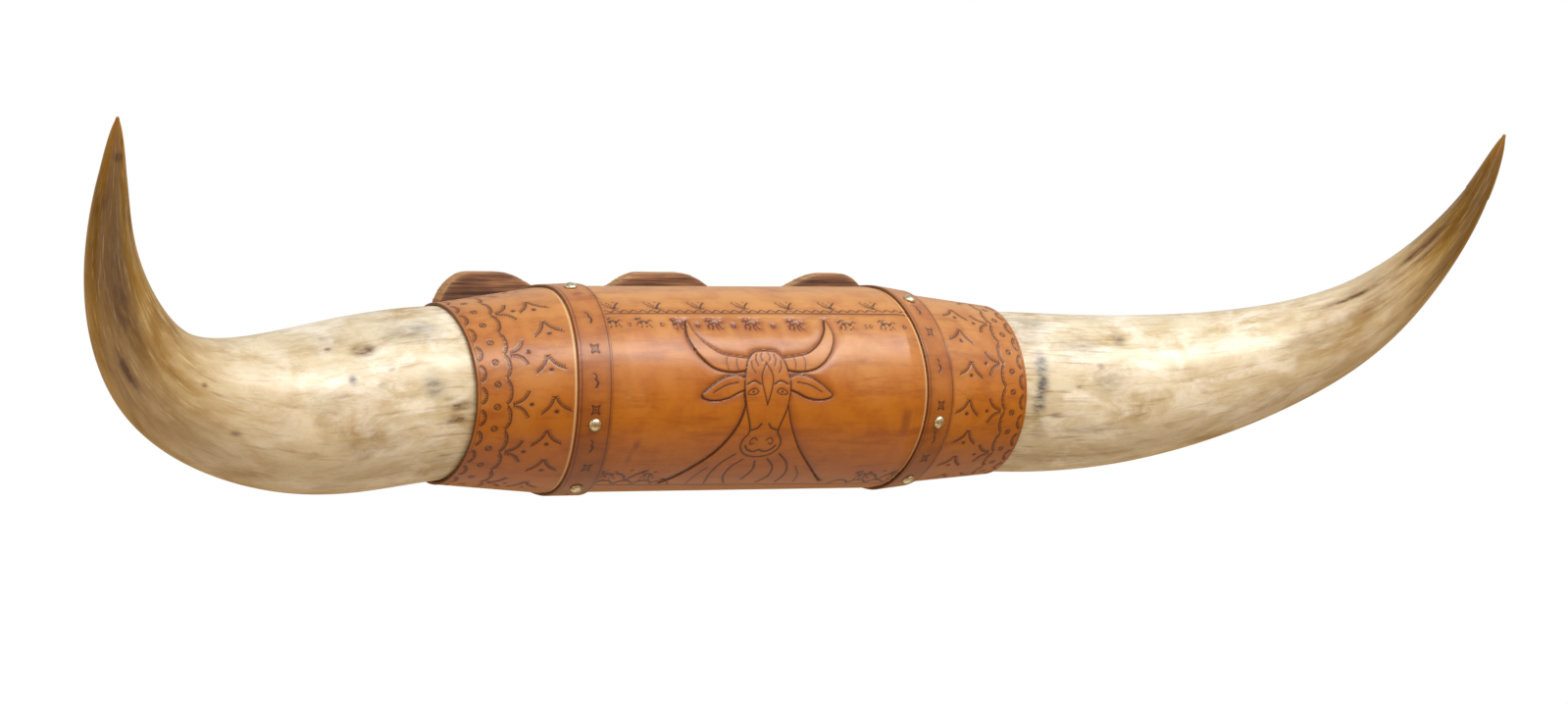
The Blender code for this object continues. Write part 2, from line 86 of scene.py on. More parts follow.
def linear(code):
    """Linear colour of an sRGB hex code."""
    channels = [int(code[place:place + 2], 16) / 255.0 for place in (1, 3, 5)]
    curve = [c / 12.92 if c <= 0.04045 else ((c + 0.055) / 1.055) ** 2.4 for c in channels]
    return (*curve, 1.0)


def fill_sockets(node, inputs):
    """Sets a node's inputs, and links those given as a socket or as a node with one result."""
    for name, value in inputs.items():
        if isinstance(value, bpy.types.Node):
            value = next(socket for socket in value.outputs if socket.enabled)
        if isinstance(value, bpy.types.NodeSocket):
            node.id_data.links.new(value, node.inputs[name])
        else:
            node.inputs[name].default_value = value


def add_node(tree, kind, inputs=None, stops=None, **settings):
    """Node with its settings, its inputs and its ramp's stops."""
    node = tree.nodes.new(kind)
    for name, value in settings.items():
        setattr(node, name, value)
    fill_sockets(node, inputs or {})
    if stops:
        ramp = node.color_ramp
        ramp.elements.remove(ramp.elements[1])
        ramp.elements[0].position = stops[0][0]
        ramp.elements[0].color = linear(stops[0][1])
        for place, code in stops[1:]:
            ramp.elements.new(place).color = linear(code)
    return node


def start_material(name, values):
    """Material, its shader with the values that are uniform, and what adds nodes to its tree."""
    material = bpy.data.materials.new(name)
    material.use_nodes = True
    shader = material.node_tree.nodes["Principled BSDF"]
    fill_sockets(shader, values)
    return material, shader, partial(add_node, material.node_tree)


def new_piece(name, data, material=None):
    piece = bpy.data.objects.new(name, data)
    bpy.context.scene.collection.objects.link(piece)
    if material is not None:
        data.materials.append(material)
    return piece


def place_camera():
    """Camera that sees the aim point at its pixel, at the photograph's scale."""
    back = Vector((
        -math.sin(CAMERA_TURN) * math.cos(CAMERA_RISE),
        -math.cos(CAMERA_TURN) * math.cos(CAMERA_RISE),
        math.sin(CAMERA_RISE),
    ))
    level = Vector((math.cos(CAMERA_TURN), -math.sin(CAMERA_TURN), 0.0))
    upright = level.cross(-back)
    right = level * math.cos(CAMERA_ROLL) + upright * math.sin(CAMERA_ROLL)
    up = upright * math.cos(CAMERA_ROLL) - level * math.sin(CAMERA_ROLL)
    distance = FOCAL_PIXELS / PIXELS_PER_METRE
    across = (AIM_PIXEL[0] - PHOTO_MIDDLE[0]) / PIXELS_PER_METRE
    above = (PHOTO_MIDDLE[1] - AIM_PIXEL[1]) / PIXELS_PER_METRE
    place = AIM + distance * back - across * right - above * up
    lens = bpy.data.cameras.new("camera")
    lens.sensor_width = SENSOR_WIDTH
    lens.lens = FOCAL_PIXELS / PHOTO_WIDTH * SENSOR_WIDTH
    lens.clip_end = 60.0
    camera = new_piece("camera", lens)
    turn = Matrix((right, up, back)).transposed().to_4x4()
    camera.matrix_world = Matrix.Translation(place) @ turn
    bpy.context.scene.camera = camera


def soft_box(name, bearing, rise, distance, width, height, power, colour):
    """Area light at a bearing round the piece and a rise above it, in degrees, facing it."""
    light = bpy.data.lights.new(name, "AREA")
    light.shape = "RECTANGLE"
    light.size = width
    light.size_y = height
    light.energy = power
    light.color = linear(colour)[:3]
    bearing = math.radians(bearing)
    rise = math.radians(rise)
    away = Vector((
        math.sin(bearing) * math.cos(rise), -math.cos(bearing) * math.cos(rise), math.sin(rise),
    ))
    turn = away.to_track_quat("Z", "Y").to_matrix().to_4x4()
    new_piece(name, light).matrix_world = Matrix.Translation(AIM + away * distance) @ turn


def white_world():
    """White backdrop, with a softer white from above and a dim warm one from below as its light."""
    world = bpy.data.worlds.new("backdrop")
    bpy.context.scene.world = world
    world.use_nodes = True
    world.node_tree.nodes.clear()
    add = partial(add_node, world.node_tree)
    seen = add("ShaderNodeBackground", {"Color": linear("#FFFFFF"), "Strength": 1.0})
    place = add("ShaderNodeTexCoord")
    axes = add("ShaderNodeSeparateXYZ", {0: place.outputs["Generated"]})
    rise = add("ShaderNodeMapRange", {
        "Value": axes.outputs["Z"], "From Min": -0.1, "From Max": 0.45})
    tone = add("ShaderNodeValToRGB", {0: rise}, ((0.0, "#DBAE74"), (1.0, "#FFFFFF")))
    given = add("ShaderNodeBackground", {"Color": tone, "Strength": 0.65})
    path = add("ShaderNodeLightPath")
    mixed = add("ShaderNodeMixShader", {0: path.outputs["Is Camera Ray"], 1: given, 2: seen})
    add("ShaderNodeOutputWorld", {"Surface": mixed})


def make_floor():
    """Matt painted floor, pale and a little uneven."""
    bm = bmesh.new()
    bmesh.ops.create_grid(bm, x_segments=2, y_segments=2, size=0.5 * FLOOR_SIZE)
    bmesh.ops.translate(bm, verts=bm.verts, vec=(0.0, AIM.y, FLOOR_Z))
    mesh = bpy.data.meshes.new("floor")
    bm.to_mesh(mesh)
    bm.free()
    paint, shader, add = start_material("matt_floor_paint", {"Roughness": 0.9})
    place = add("ShaderNodeTexCoord")
    cloud = add("ShaderNodeTexNoise", {"Vector": place.outputs["Object"], "Scale": 3.0})
    tone = add("ShaderNodeValToRGB", {0: cloud}, ((0.3, "#EADDC8"), (0.7, "#F0E4D0")))
    fill_sockets(shader, {"Base Color": tone})
    new_piece("floor", mesh, paint)


place_camera()
soft_box("key_soft_box", -2.0, 46.0, 2.4, 2.2, 0.7, 37.0, "#FFFCF7")
soft_box("side_soft_box", 40.0, 43.0, 2.6, 1.5, 0.9, 26.0, "#FFFFFF")
soft_box("left_soft_box", -78.0, 12.0, 2.6, 0.9, 1.4, 9.0, "#FFF0DA")
white_world()
make_floor()
bpy.context.scene.view_settings.view_transform = "Standard"


# Board: a plank of dark old wood, sawn to three lobes above and three below, with its face
# weathered along the grain and its sawn edge left paler. The hanger lies in a recess in its back.
BOARD_THICK = 0.015
BOARD_TOP = 0.077
BOARD_BOTTOM = -0.073
BOARD_HALF_LENGTH = 0.183
LOBE_CENTRES = (-0.141, 0.002, 0.146)
LOBE_FLATS = (0.009, 0.015, 0.004)
VALLEY_DEPTH = 0.024
END_ROUND_LENGTH = 0.030
END_ROUND_HEIGHT = 0.042
OUTLINE_STEPS = 150
END_STEPS = 24
BOARD_EDGE_ROUND = 0.0012
BOARD_GRID = 0.0017
GRAIN_DEPTH = 0.00028
HANGER_GAP = 0.0006
# Hollow behind the hanger for the head of a nail in the wall.
NAIL_HOLLOW_HALF = 0.020
NAIL_HOLLOW_DEPTH = 0.0039
SCREW_NODES = ["board_screw_" + str(index + 1) for index in range(4)]
SCREW_HOLE_RADIUS = 0.0028
PAST_FACE = 0.003
LYING_TO_UPRIGHT = Matrix.Rotation(math.radians(90.0), 4, "X")


def plain_mesh(piece):
    """Gives a piece the mesh that its modifiers make, and removes them."""
    depsgraph = bpy.context.evaluated_depsgraph_get()
    mesh = bpy.data.meshes.new_from_object(piece.evaluated_get(depsgraph))
    piece.modifiers.clear()
    piece.data = mesh


def lobe_drop(x):
    """How far the board's edge lies below the top of the nearest lobe."""
    nearest = min(range(len(LOBE_CENTRES)), key=lambda index: abs(x - LOBE_CENTRES[index]))
    centre = LOBE_CENTRES[nearest]
    flat = LOBE_FLATS[nearest]
    if abs(x) > abs(centre) and nearest != 1:
        return 0.0
    neighbour = LOBE_CENTRES[nearest + (1 if x > centre else -1)]
    valley = 0.5 * abs(neighbour - centre)
    share = min(max((abs(x - centre) - flat) / (valley - flat), 0.0), 1.0)
    return VALLEY_DEPTH * share * share * (3.0 - 2.0 * share)


def board_outline():
    """Outline of the board, round from its right end: lobes above, then the same lobes below."""
    flat_end = BOARD_HALF_LENGTH - END_ROUND_LENGTH
    upper = []
    for step in range(END_STEPS):
        turn = 0.5 * math.pi * step / END_STEPS
        drop = END_ROUND_HEIGHT * (1.0 - math.sin(turn))
        upper.append((flat_end + END_ROUND_LENGTH * math.cos(turn), drop))
    for step in range(OUTLINE_STEPS + 1):
        x = flat_end * (1.0 - 2.0 * step / OUTLINE_STEPS)
        upper.append((x, lobe_drop(x)))
    upper += [(-x, drop) for x, drop in reversed(upper[:END_STEPS])]
    outline = [(x, BOARD_TOP - drop) for x, drop in upper]
    return outline + [(x, BOARD_BOTTOM + drop) for x, drop in reversed(upper)]


def board_plank():
    """Plank with rounded edges, cut to the outline."""
    curve = bpy.data.curves.new("backboard_outline", "CURVE")
    curve.dimensions = "2D"
    curve.fill_mode = "BOTH"
    curve.extrude = 0.5 * BOARD_THICK - BOARD_EDGE_ROUND
    curve.bevel_depth = BOARD_EDGE_ROUND
    curve.bevel_resolution = 2
    curve.offset = -BOARD_EDGE_ROUND
    spline = curve.splines.new("POLY")
    outline = board_outline()
    spline.points.add(len(outline) - 1)
    for point, (x, z) in zip(spline.points, outline):
        point.co = (x, z, 0.0, 1.0)
    spline.use_cyclic_u = True
    guide = new_piece("backboard_guide", curve)
    depsgraph = bpy.context.evaluated_depsgraph_get()
    mesh = bpy.data.meshes.new_from_object(guide.evaluated_get(depsgraph))
    bpy.data.objects.remove(guide, do_unlink=True)
    bm = bmesh.new()
    bm.from_mesh(mesh)
    bmesh.ops.remove_doubles(bm, verts=bm.verts, dist=0.00001)
    stand = Matrix.Translation((0.0, -0.5 * BOARD_THICK, 0.0)) @ LYING_TO_UPRIGHT
    bmesh.ops.transform(bm, matrix=stand, verts=bm.verts)
    bmesh.ops.recalc_face_normals(bm, faces=bm.faces)
    bm.to_mesh(mesh)
    bm.free()
    return new_piece("backboard_weathered", mesh)


def cut_away(board, bm):
    """Takes the closed shape in a bmesh out of the board, and empties the bmesh."""
    cutter = new_piece("cutter", bpy.data.meshes.new("cutter"))
    bm.to_mesh(cutter.data)
    bm.clear()
    cut = board.modifiers.new("cut", "BOOLEAN")
    cut.object = cutter
    cut.operation = "DIFFERENCE"
    cut.solver = "MANIFOLD"
    plain_mesh(board)
    bpy.data.objects.remove(cutter, do_unlink=True)


def cut_recesses(board):
    """Recess for the hanger, hollow for a wall nail's head and holes for the screws."""
    bm = bmesh.new()
    hanger_low, hanger_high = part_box("hanger")
    gap = Vector((HANGER_GAP, HANGER_GAP, HANGER_GAP))
    recess_high = hanger_high + gap
    recess_high.y = PAST_FACE
    hollow_low = Vector((-NAIL_HOLLOW_HALF, -NAIL_HOLLOW_DEPTH, hanger_low.z - 0.006))
    hollow_high = Vector((NAIL_HOLLOW_HALF, PAST_FACE, hanger_low.z + 0.009))
    for low, high in ((hanger_low - gap, recess_high), (hollow_low, hollow_high)):
        shape = Matrix.Translation((low + high) / 2) @ Matrix.Diagonal((*(high - low), 1.0))
        bmesh.ops.create_cube(bm, size=1.0, matrix=shape)
        cut_away(board, bm)
    for name in SCREW_NODES:
        low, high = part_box(name)
        drill = Matrix.Translation((
            (low.x + high.x) / 2, -0.5 * BOARD_THICK, (low.z + high.z) / 2)) @ LYING_TO_UPRIGHT
        bmesh.ops.create_cone(
            bm, cap_ends=True, segments=32, radius1=SCREW_HOLE_RADIUS,
            radius2=0.5 * (high.x - low.x) + HANGER_GAP, depth=BOARD_THICK + 0.004, matrix=drill)
        cut_away(board, bm)
    bm.free()


def read_vectors(rows, name, kind=float):
    """A vector of each of a mesh's points, such as its place or normal, as rows."""
    values = np.empty(len(rows) * 3, kind)
    rows.foreach_get(name, values)
    return values.reshape(-1, 3)


def weather_board(board):
    """Soft wood worn from between the hard lines of the grain, on an even fine mesh."""
    remesh = board.modifiers.new("even", "REMESH")
    remesh.mode = "VOXEL"
    remesh.voxel_size = BOARD_GRID
    plain_mesh(board)
    places = read_vectors(board.data.vertices, "co")
    normals = read_vectors(board.data.vertices, "normal")
    worn = np.array([
        noise.fractal((x * 9.0, y * 60.0, z * 330.0), 0.7, 2.1, 4)
        + 0.4 * noise.noise((x * 14.0, y * 14.0, z * 26.0)) for x, y, z in places
    ])
    places -= normals * (GRAIN_DEPTH * np.maximum(worn + 0.4, 0.0))[:, None]
    board.data.vertices.foreach_set("co", places.ravel())
    board.data.shade_smooth()


def layer_colours(add, colour, *layers):
    """Lays colours over one another, from each layer's amount, colour and way of blending."""
    for amount, layer, blend in layers:
        colour = add("ShaderNodeMix", {
            0: amount, 6: colour, 7: linear(layer) if isinstance(layer, str) else layer},
            data_type="RGBA", blend_type=blend)
    return colour


def finish(shader, add, colour, pattern, matt, height, strength, distance):
    """Gives a shader its colour, a roughness that follows a pattern, and the bump of a height."""
    dull = add("ShaderNodeMapRange", {"Value": pattern, "To Min": matt[0], "To Max": matt[1]})
    bump = add("ShaderNodeBump", {"Height": height, "Strength": strength, "Distance": distance})
    fill_sockets(shader, {"Base Color": colour, "Roughness": dull, "Normal": bump})


def board_wood():
    """Old hardwood board: dark brown face with fine dark grain, paler sawn edge, dull finish."""
    wood, shader, add = start_material("old_dark_hardwood", {"IOR": 1.5})
    place = add("ShaderNodeTexCoord").outputs["Object"]
    stretched = add("ShaderNodeMapping", {"Vector": place, "Scale": (8.0, 50.0, 230.0)})
    grain = add("ShaderNodeTexNoise", {
        "Vector": stretched, "Scale": 1.6, "Detail": 7.0, "Roughness": 0.62, "Distortion": 0.5})
    fibres = add("ShaderNodeMapping", {"Vector": place, "Scale": (22.0, 400.0, 900.0)})
    pores = add("ShaderNodeTexNoise", {"Vector": fibres, "Scale": 1.0, "Detail": 3.0})
    cloud = add("ShaderNodeTexNoise", {"Vector": place, "Scale": 24.0, "Detail": 2.0})
    face = add("ShaderNodeValToRGB", {0: grain}, (
        (0.32, "#442718"), (0.44, "#7C5135"), (0.56, "#A06E48"), (0.70, "#B58556")))
    dark_pores = add("ShaderNodeValToRGB", {0: pores}, ((0.36, "#5A5250"), (0.52, "#FFFFFF")))
    smoky = add("ShaderNodeValToRGB", {0: cloud}, ((0.35, "#8C7A70"), (0.60, "#FFFFFF")))
    sawn = add("ShaderNodeValToRGB", {0: grain}, ((0.32, "#8A603C"), (0.6, "#C0925E")))
    facing = add("ShaderNodeNewGeometry")
    axes = add("ShaderNodeSeparateXYZ", {0: facing.outputs["Normal"]})
    flat = add("ShaderNodeMath", {0: axes.outputs["Y"]}, operation="ABSOLUTE")
    edge = add("ShaderNodeMapRange", {
        "Value": flat, "From Min": 0.9, "From Max": 0.35, "To Min": 0.0, "To Max": 0.85})
    colour = layer_colours(add, face, (0.75, dark_pores, "MULTIPLY"), (0.8, smoky, "MULTIPLY"),
                           (edge, sawn, "MIX"))
    relief = add("ShaderNodeMath", {0: grain, 1: pores})
    finish(shader, add, colour, grain, (0.82, 0.55), relief, 0.5, 0.0006)
    return wood


board = board_plank()
cut_recesses(board)
weather_board(board)
board.data.materials.clear()
board.data.materials.append(board_wood())
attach(board, "root")
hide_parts("backboard")


# Core and its fixings, which hardly show: a block of plain softwood with round tenons for the
# horns, four countersunk steel screws through the board, and a toothed steel strip with two
# small screws let into the board's back.
SCREW_STEPS = 64
SCREW_LENGTH = 0.045
SLOT_HALF = 0.00045
SLOT_REACH = 0.0026
SLOT_DEPTH = 0.0014
SHANK_RADIUS = 0.0022


def add_values(mesh, label, values):
    """Attribute of a mesh's points, from a number or a vector of each."""
    rows = np.array(values)
    if rows.size == 3 * len(mesh.vertices):
        kind = "FLOAT_VECTOR"
    else:
        kind = "INT" if rows.dtype.kind == "i" else "FLOAT"
    attribute = mesh.attributes.new(label, kind, "POINT")
    rows = rows.astype(np.int32 if kind == "INT" else np.float32)
    attribute.data.foreach_set("vector" if kind == "FLOAT_VECTOR" else "value", rows.ravel())


def ring_mesh(name, rings, values=None):
    """Closed skin over rings of equally many points, with a value of every point as attributes."""
    count, size, _ = rings.shape
    index = np.arange(count * size).reshape(count, size)
    low = index[:-1]
    high = index[1:]
    quads = np.stack([low, np.roll(low, -1, 1), np.roll(high, -1, 1), high], axis=-1)
    faces = quads.reshape(-1, 4).tolist() + [index[0][::-1].tolist(), index[-1].tolist()]
    mesh = bpy.data.meshes.new(name)
    mesh.from_pydata(rings.reshape(-1, 3).tolist(), [], faces)
    for label, rows in (values or {}).items():
        add_values(mesh, label, rows)
    bm = bmesh.new()
    bm.from_mesh(mesh)
    bmesh.ops.remove_doubles(bm, verts=bm.verts, dist=0.000002)
    bmesh.ops.recalc_face_normals(bm, faces=bm.faces)
    bm.to_mesh(mesh)
    bm.free()
    mesh.shade_smooth()
    mesh.set_sharp_from_angle(angle=math.radians(50.0))
    return mesh


def turned_mesh(name, profile, steps):
    """Skin turned about Z from (radius, height) pairs."""
    turn = np.linspace(0.0, 2.0 * math.pi, steps, endpoint=False)
    rings = [[(r * math.cos(a), r * math.sin(a), z) for a in turn] for r, z in profile]
    return ring_mesh(name, np.array(rings))


def start_tree(name, *inputs):
    """Tree with its named inputs, what adds nodes to it, and the sockets of the inputs."""
    tree = bpy.data.node_groups.new(name, "GeometryNodeTree")
    tree.interface.new_socket("Geometry", in_out="OUTPUT", socket_type="NodeSocketGeometry")
    for label, kind in (("Geometry", "Geometry"), *inputs):
        tree.interface.new_socket(label, in_out="INPUT", socket_type="NodeSocket" + kind)
    return tree, partial(add_node, tree), add_node(tree, "NodeGroupInput").outputs


def end_tree(add, geometry, material):
    """Ends a tree in whole geometry with its material."""
    whole = add("GeometryNodeRealizeInstances", {0: geometry})
    dressed = add("GeometryNodeSetMaterial", {"Geometry": whole, "Material": material})
    add("NodeGroupOutput", {0: dressed})


def fastening_tree():
    """Geometry Nodes: a fastener on every point, along the point's direction, spun at random."""
    tree, add, given = start_tree(
        "fastening", ("Fastener", "Object"), ("Metal", "Material"), ("Seed", "Int"))
    fastener = add("GeometryNodeObjectInfo", {"Object": given["Fastener"]})
    along = add("GeometryNodeInputNamedAttribute", {"Name": "along"}, data_type="FLOAT_VECTOR")
    aligned = add("FunctionNodeAlignRotationToVector", {"Vector": along}, axis="Z")
    placed = add("GeometryNodeInstanceOnPoints", {
        "Points": given["Geometry"], "Instance": fastener.outputs["Geometry"],
        "Rotation": aligned})
    spin = add("FunctionNodeRandomValue", {
        "Min": (0.0, 0.0, 0.0), "Max": (0.0, 0.0, 6.28), "Seed": given["Seed"]},
        data_type="FLOAT_VECTOR")
    spun = add("GeometryNodeRotateInstances", {"Instances": placed, "Rotation": spin})
    end_tree(add, spun, given["Metal"])
    return tree


def run_tree(piece, tree, values):
    """Runs a tree on a piece, keeps the plain mesh and removes the objects given as its inputs."""
    nodes = piece.modifiers.new(tree.name, "NODES")
    nodes.node_group = tree
    sockets = {item.name: item.identifier for item in tree.interface.items_tree
               if item.in_out == "INPUT"}
    for name, value in values.items():
        nodes[sockets[name]] = value
    plain_mesh(piece)
    for value in values.values():
        if isinstance(value, bpy.types.Object):
            bpy.data.objects.remove(value, do_unlink=True)


def fasten(name, fastener_mesh, places, directions, metal, seed):
    """One mesh with a fastener at every place, its head along the direction there."""
    mesh = bpy.data.meshes.new(name)
    mesh.from_pydata([tuple(place) for place in places], [], [])
    add_values(mesh, "along", directions)
    piece = new_piece(name, mesh)
    fastener = new_piece(name + "_pattern", fastener_mesh)
    run_tree(piece, fastening, {"Fastener": fastener, "Metal": metal, "Seed": seed})
    return piece


def plated_metal(name, bright, dull, smear, roughness):
    """Thin plating over steel or brass: bright where it is rubbed, dull and stained elsewhere."""
    metal, shader, add = start_material(name, {"Metallic": 1.0})
    place = add("ShaderNodeTexCoord").outputs["Object"]
    stain = add("ShaderNodeTexNoise", {
        "Vector": place, "Scale": 420.0, "Detail": 4.0, "Roughness": 0.6})
    tone = add("ShaderNodeValToRGB", {0: stain}, ((0.30, dull), (0.46, smear), (0.62, bright)))
    finish(shader, add, tone, stain, roughness[::-1], stain, 0.15, 0.0002)
    return metal


def plain_softwood():
    """Sawn softwood: pale yellow brown with broad growth rings, matt."""
    wood, shader, add = start_material("sawn_softwood", {"IOR": 1.5})
    place = add("ShaderNodeTexCoord").outputs["Object"]
    stretched = add("ShaderNodeMapping", {"Vector": place, "Scale": (3.0, 60.0, 60.0)})
    grain = add("ShaderNodeTexNoise", {
        "Vector": stretched, "Scale": 2.0, "Detail": 5.0, "Distortion": 0.8})
    tone = add("ShaderNodeValToRGB", {0: grain}, ((0.35, "#A77F50"), (0.65, "#D2B083")))
    finish(shader, add, tone, grain, (0.9, 0.65), grain, 0.4, 0.0005)
    return wood


def dress_frame_node(name, material):
    """Gives a solid of the frame its finish."""
    mesh = frame["nodes"][name].data
    mesh.materials.clear()
    mesh.materials.append(material)


def countersunk_screw():
    """Cross-slotted countersunk screw with its face at the origin, pointing down -Z."""
    low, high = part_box("board_screw_1")
    head = 0.5 * (high.x - low.x)
    face = [(head * share, 0.0) for share in np.linspace(0.0, 0.96, 16)]
    side = [(head, -0.0002), (head, -0.0005), (SHANK_RADIUS, -0.0025)]
    shank = [(SHANK_RADIUS, -0.8 * SCREW_LENGTH), (0.0, -SCREW_LENGTH)]
    mesh = turned_mesh("countersunk_screw", face + side + shank, SCREW_STEPS)
    places = read_vectors(mesh.vertices, "co")
    flat = np.abs(places[:, :2])
    inner = (places[:, 2] > -0.0001) & (flat.max(1) < SLOT_REACH)
    sunk = np.clip(2.0 - flat.min(1) / SLOT_HALF, 0.0, 1.0) * inner
    places[:, 2] -= SLOT_DEPTH * sunk * np.clip(1.3 - flat.max(1) / SLOT_REACH, 0.0, 1.0)
    mesh.vertices.foreach_set("co", places.ravel())
    return mesh


fastening = fastening_tree()
zinc = plated_metal("zinc_plated_steel", "#C9C9C4", "#8E8E86", "#ADADA6", (0.3, 0.5))
screw_places = []
for name in SCREW_NODES:
    low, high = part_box(name)
    screw_places.append(((low.x + high.x) / 2, high.y, (low.z + high.z) / 2))
screws = fasten("board_screws", countersunk_screw(), screw_places, [(0.0, 1.0, 0.0)] * 4, zinc, 3)
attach(screws, "root")
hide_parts(*SCREW_NODES)
for name in ("hanger", "hanger_screw_left", "hanger_screw_right"):
    dress_frame_node(name, zinc)
dress_frame_node("core", plain_softwood())


# Horns: each grown in one piece, scraped and polished. Cream at the foot, where pores, stains and
# chalky spots show, with brown streaks along the fibres that close up into a dark brown tip. The
# foot is bored for the core's tenon, and the first 70 mm lie inside the cuff.
# Stations: distance out along the roll, behind its axis and above it, and radius, in millimetres.
HORN_STATIONS = {
    "left": [
        (140, 10, -1, 58.5), (190, 12, -2, 61), (240, 12, -4, 62.4), (317, 6, -13, 61),
        (391, -10, -11, 50.5), (456, -35, 12, 37), (501, -68, 62, 25), (526, -106, 110, 16.5),
        (543, -149, 154, 10), (557, -190, 196, 1.2),
    ],
    "right": [
        (140, 10, -1, 57), (190, 12, -3, 59), (241, 12, -5, 60), (316, 6, -4, 57.3),
        (388, -10, 6, 50), (451, -35, 25, 40.3), (504, -68, 56, 29.5), (539, -106, 103, 18.5),
        (551, -149, 155, 9.5), (545, -190, 201, 1.2),
    ],
}
SIDES = {"left": -1.0, "right": 1.0}
AXIS_Y = AIM.y
HORN_RINGS = 380
HORN_STEPS = 160
TIP_RINGS = 5
FOOT_BLEND = 12
SOCKET_RADIUS = 0.0383
SOCKET_DEPTH = 0.0600
FLUTE_DEPTH = 0.00035
RIPPLE_DEPTH = 0.00003
RIPPLE_REACH = 0.16
# Marks: how far along from the foot, degrees round from the front (below is positive), half
# length and half width, all in millimetres, then depth of the pit, brownness and greyness.
HORN_MARKS = {
    "left": [
        (158, -45, 10, 5, 0.9, 1.1, 0.2), (159, -45, 5, 2, 0, -0.7, 0), (178, -24, 4, 4, 0.2, 0, 0.9),
        (552, 3, 4.5, 3, 1.2, 1.4, 0), (564, -25, 4, 1, 0.3, 1.0, 0),
        (316, -12, 3, 2, 0.2, 0.7, 0), (274, 21, 5, 2, 0.3, 0.7, 0),
        (189, -51, 4, 1.5, 0.2, 0.7, 0), (152, -18, 5, 2, 0.1, 0.7, 0), (141, -27, 4, 1.5, 0, 0.5, 0),
        (88, 3, 9, 3, 0.1, 1.1, 0), (92, 12, 8, 4, 0.2, 1.1, 0), (98, -3, 6, 1, 0, 1.0, 0),
        (97, 39, 7, 1, 0, 1.0, 0), (109, -12, 9, 9, 0, 0, 0.6), (106, -54, 14, 9, 0, 0, 0.6),
        (128, -50, 12, 5, 0, 0, 0.35), (365, 48, 20, 4, 0, 1.0, 0), (402, 20, 34, 7, 0, 0.5, 0),
        (440, 24, 40, 12, 0, 0.5, 0), (164, 20, 26, 15, 0, 0.25, 0), (203, -9, 18, 12, 0, 0.2, 0),
        # These two broad faint brown patches high on the foot are painted shade, darkening the top of
        # the horn beside the cuff.
        (190, -62, 32, 14, 0, 0.25, 0), (122, -62, 30, 12, 0, 0.22, 0),
    ],
    "right": [
        (92, -24, 6, 9, 0, 0, 1.1), (92, -9, 6, 7, 0, 0, 1.0), (89, 4, 6, 9, 0, 0, 0.9),
        (100, -63, 16, 8, 0, 0, 0.4), (92, 22, 5, 12, 0, 0, 0.3), (173, -48, 7, 6, 0.2, 0.7, 0),
        (149, -24, 3, 2, 0.1, 0.7, 0), (126, -9, 3, 1.5, 0, 0.6, 0), (155, -12, 13, 9, 0, 0, 0.35),
        (106, 12, 8, 1.5, 0.1, 0.7, 0), (138, 24, 22, 4, 0, 0, 0.3), (466, -69, 28, 2.2, 0, 1.1, 0),
        (452, -50, 24, 1.6, 0, 0.7, 0), (388, -60, 24, 1.6, 0, 0.9, 0), (344, -21, 30, 10, 0, 0.3, 0),
        (410, -66, 26, 8, 0, 0.35, 0), (400, -30, 30, 7, 0, 0.3, 0), (130, -40, 20, 9, 0, 0.2, 0.2),
        # The second patch here, broad and faint high on the foot, is painted shade, darkening the top
        # of the horn beside the cuff.
        (452, 10, 36, 5, 0, 0.5, 0), (86, -52, 16, 22, 0, 0.26, 0),
    ],
}
# How far each horn has browned, for shares of its length.
HORN_BROWNING = {
    "left": ((0.0, 0.45, 0.54, 0.58, 0.68, 0.76, 1.0), (0.0, 0.46, 0.62, 0.67, 0.74, 0.80, 1.0)),
    "right": ((0.0, 0.57, 0.72, 0.82, 0.90, 1.0), (0.0, 0.38, 0.57, 0.78, 0.88, 1.0)),
}
TIP_LENGTH = 0.060
TIP_FULLNESS = 0.0098
SOCKET_BEHIND = 0.012


def spline_stations(stations, places):
    """Natural cubic spline through the stations, read at places along its length."""
    points = np.array(stations, dtype=float)
    steps = np.linalg.norm(np.diff(points[:, :3], axis=0), axis=1)
    run = np.concatenate([[0.0], np.cumsum(steps)])
    size = len(run)
    system = np.eye(size)
    wanted = np.zeros_like(points)
    for i in range(1, size - 1):
        system[i, i - 1:i + 2] = steps[i - 1], 2.0 * (steps[i - 1] + steps[i]), steps[i]
        slope_after = (points[i + 1] - points[i]) / steps[i]
        slope_before = (points[i] - points[i - 1]) / steps[i - 1]
        wanted[i] = 6.0 * (slope_after - slope_before)
    bend = np.linalg.solve(system, wanted)
    places = np.asarray(places) * run[-1]
    k = np.clip(np.searchsorted(run, places, side="right") - 1, 0, size - 2)
    after = (run[k + 1] - places)[:, None]
    before = (places - run[k])[:, None]
    step = steps[k][:, None]
    curved = (bend[k] * after ** 3 + bend[k + 1] * before ** 3) / (6.0 * step)
    straight = (points[k] / step - bend[k] * step / 6.0) * after
    return curved + straight + (points[k + 1] / step - bend[k + 1] * step / 6.0) * before


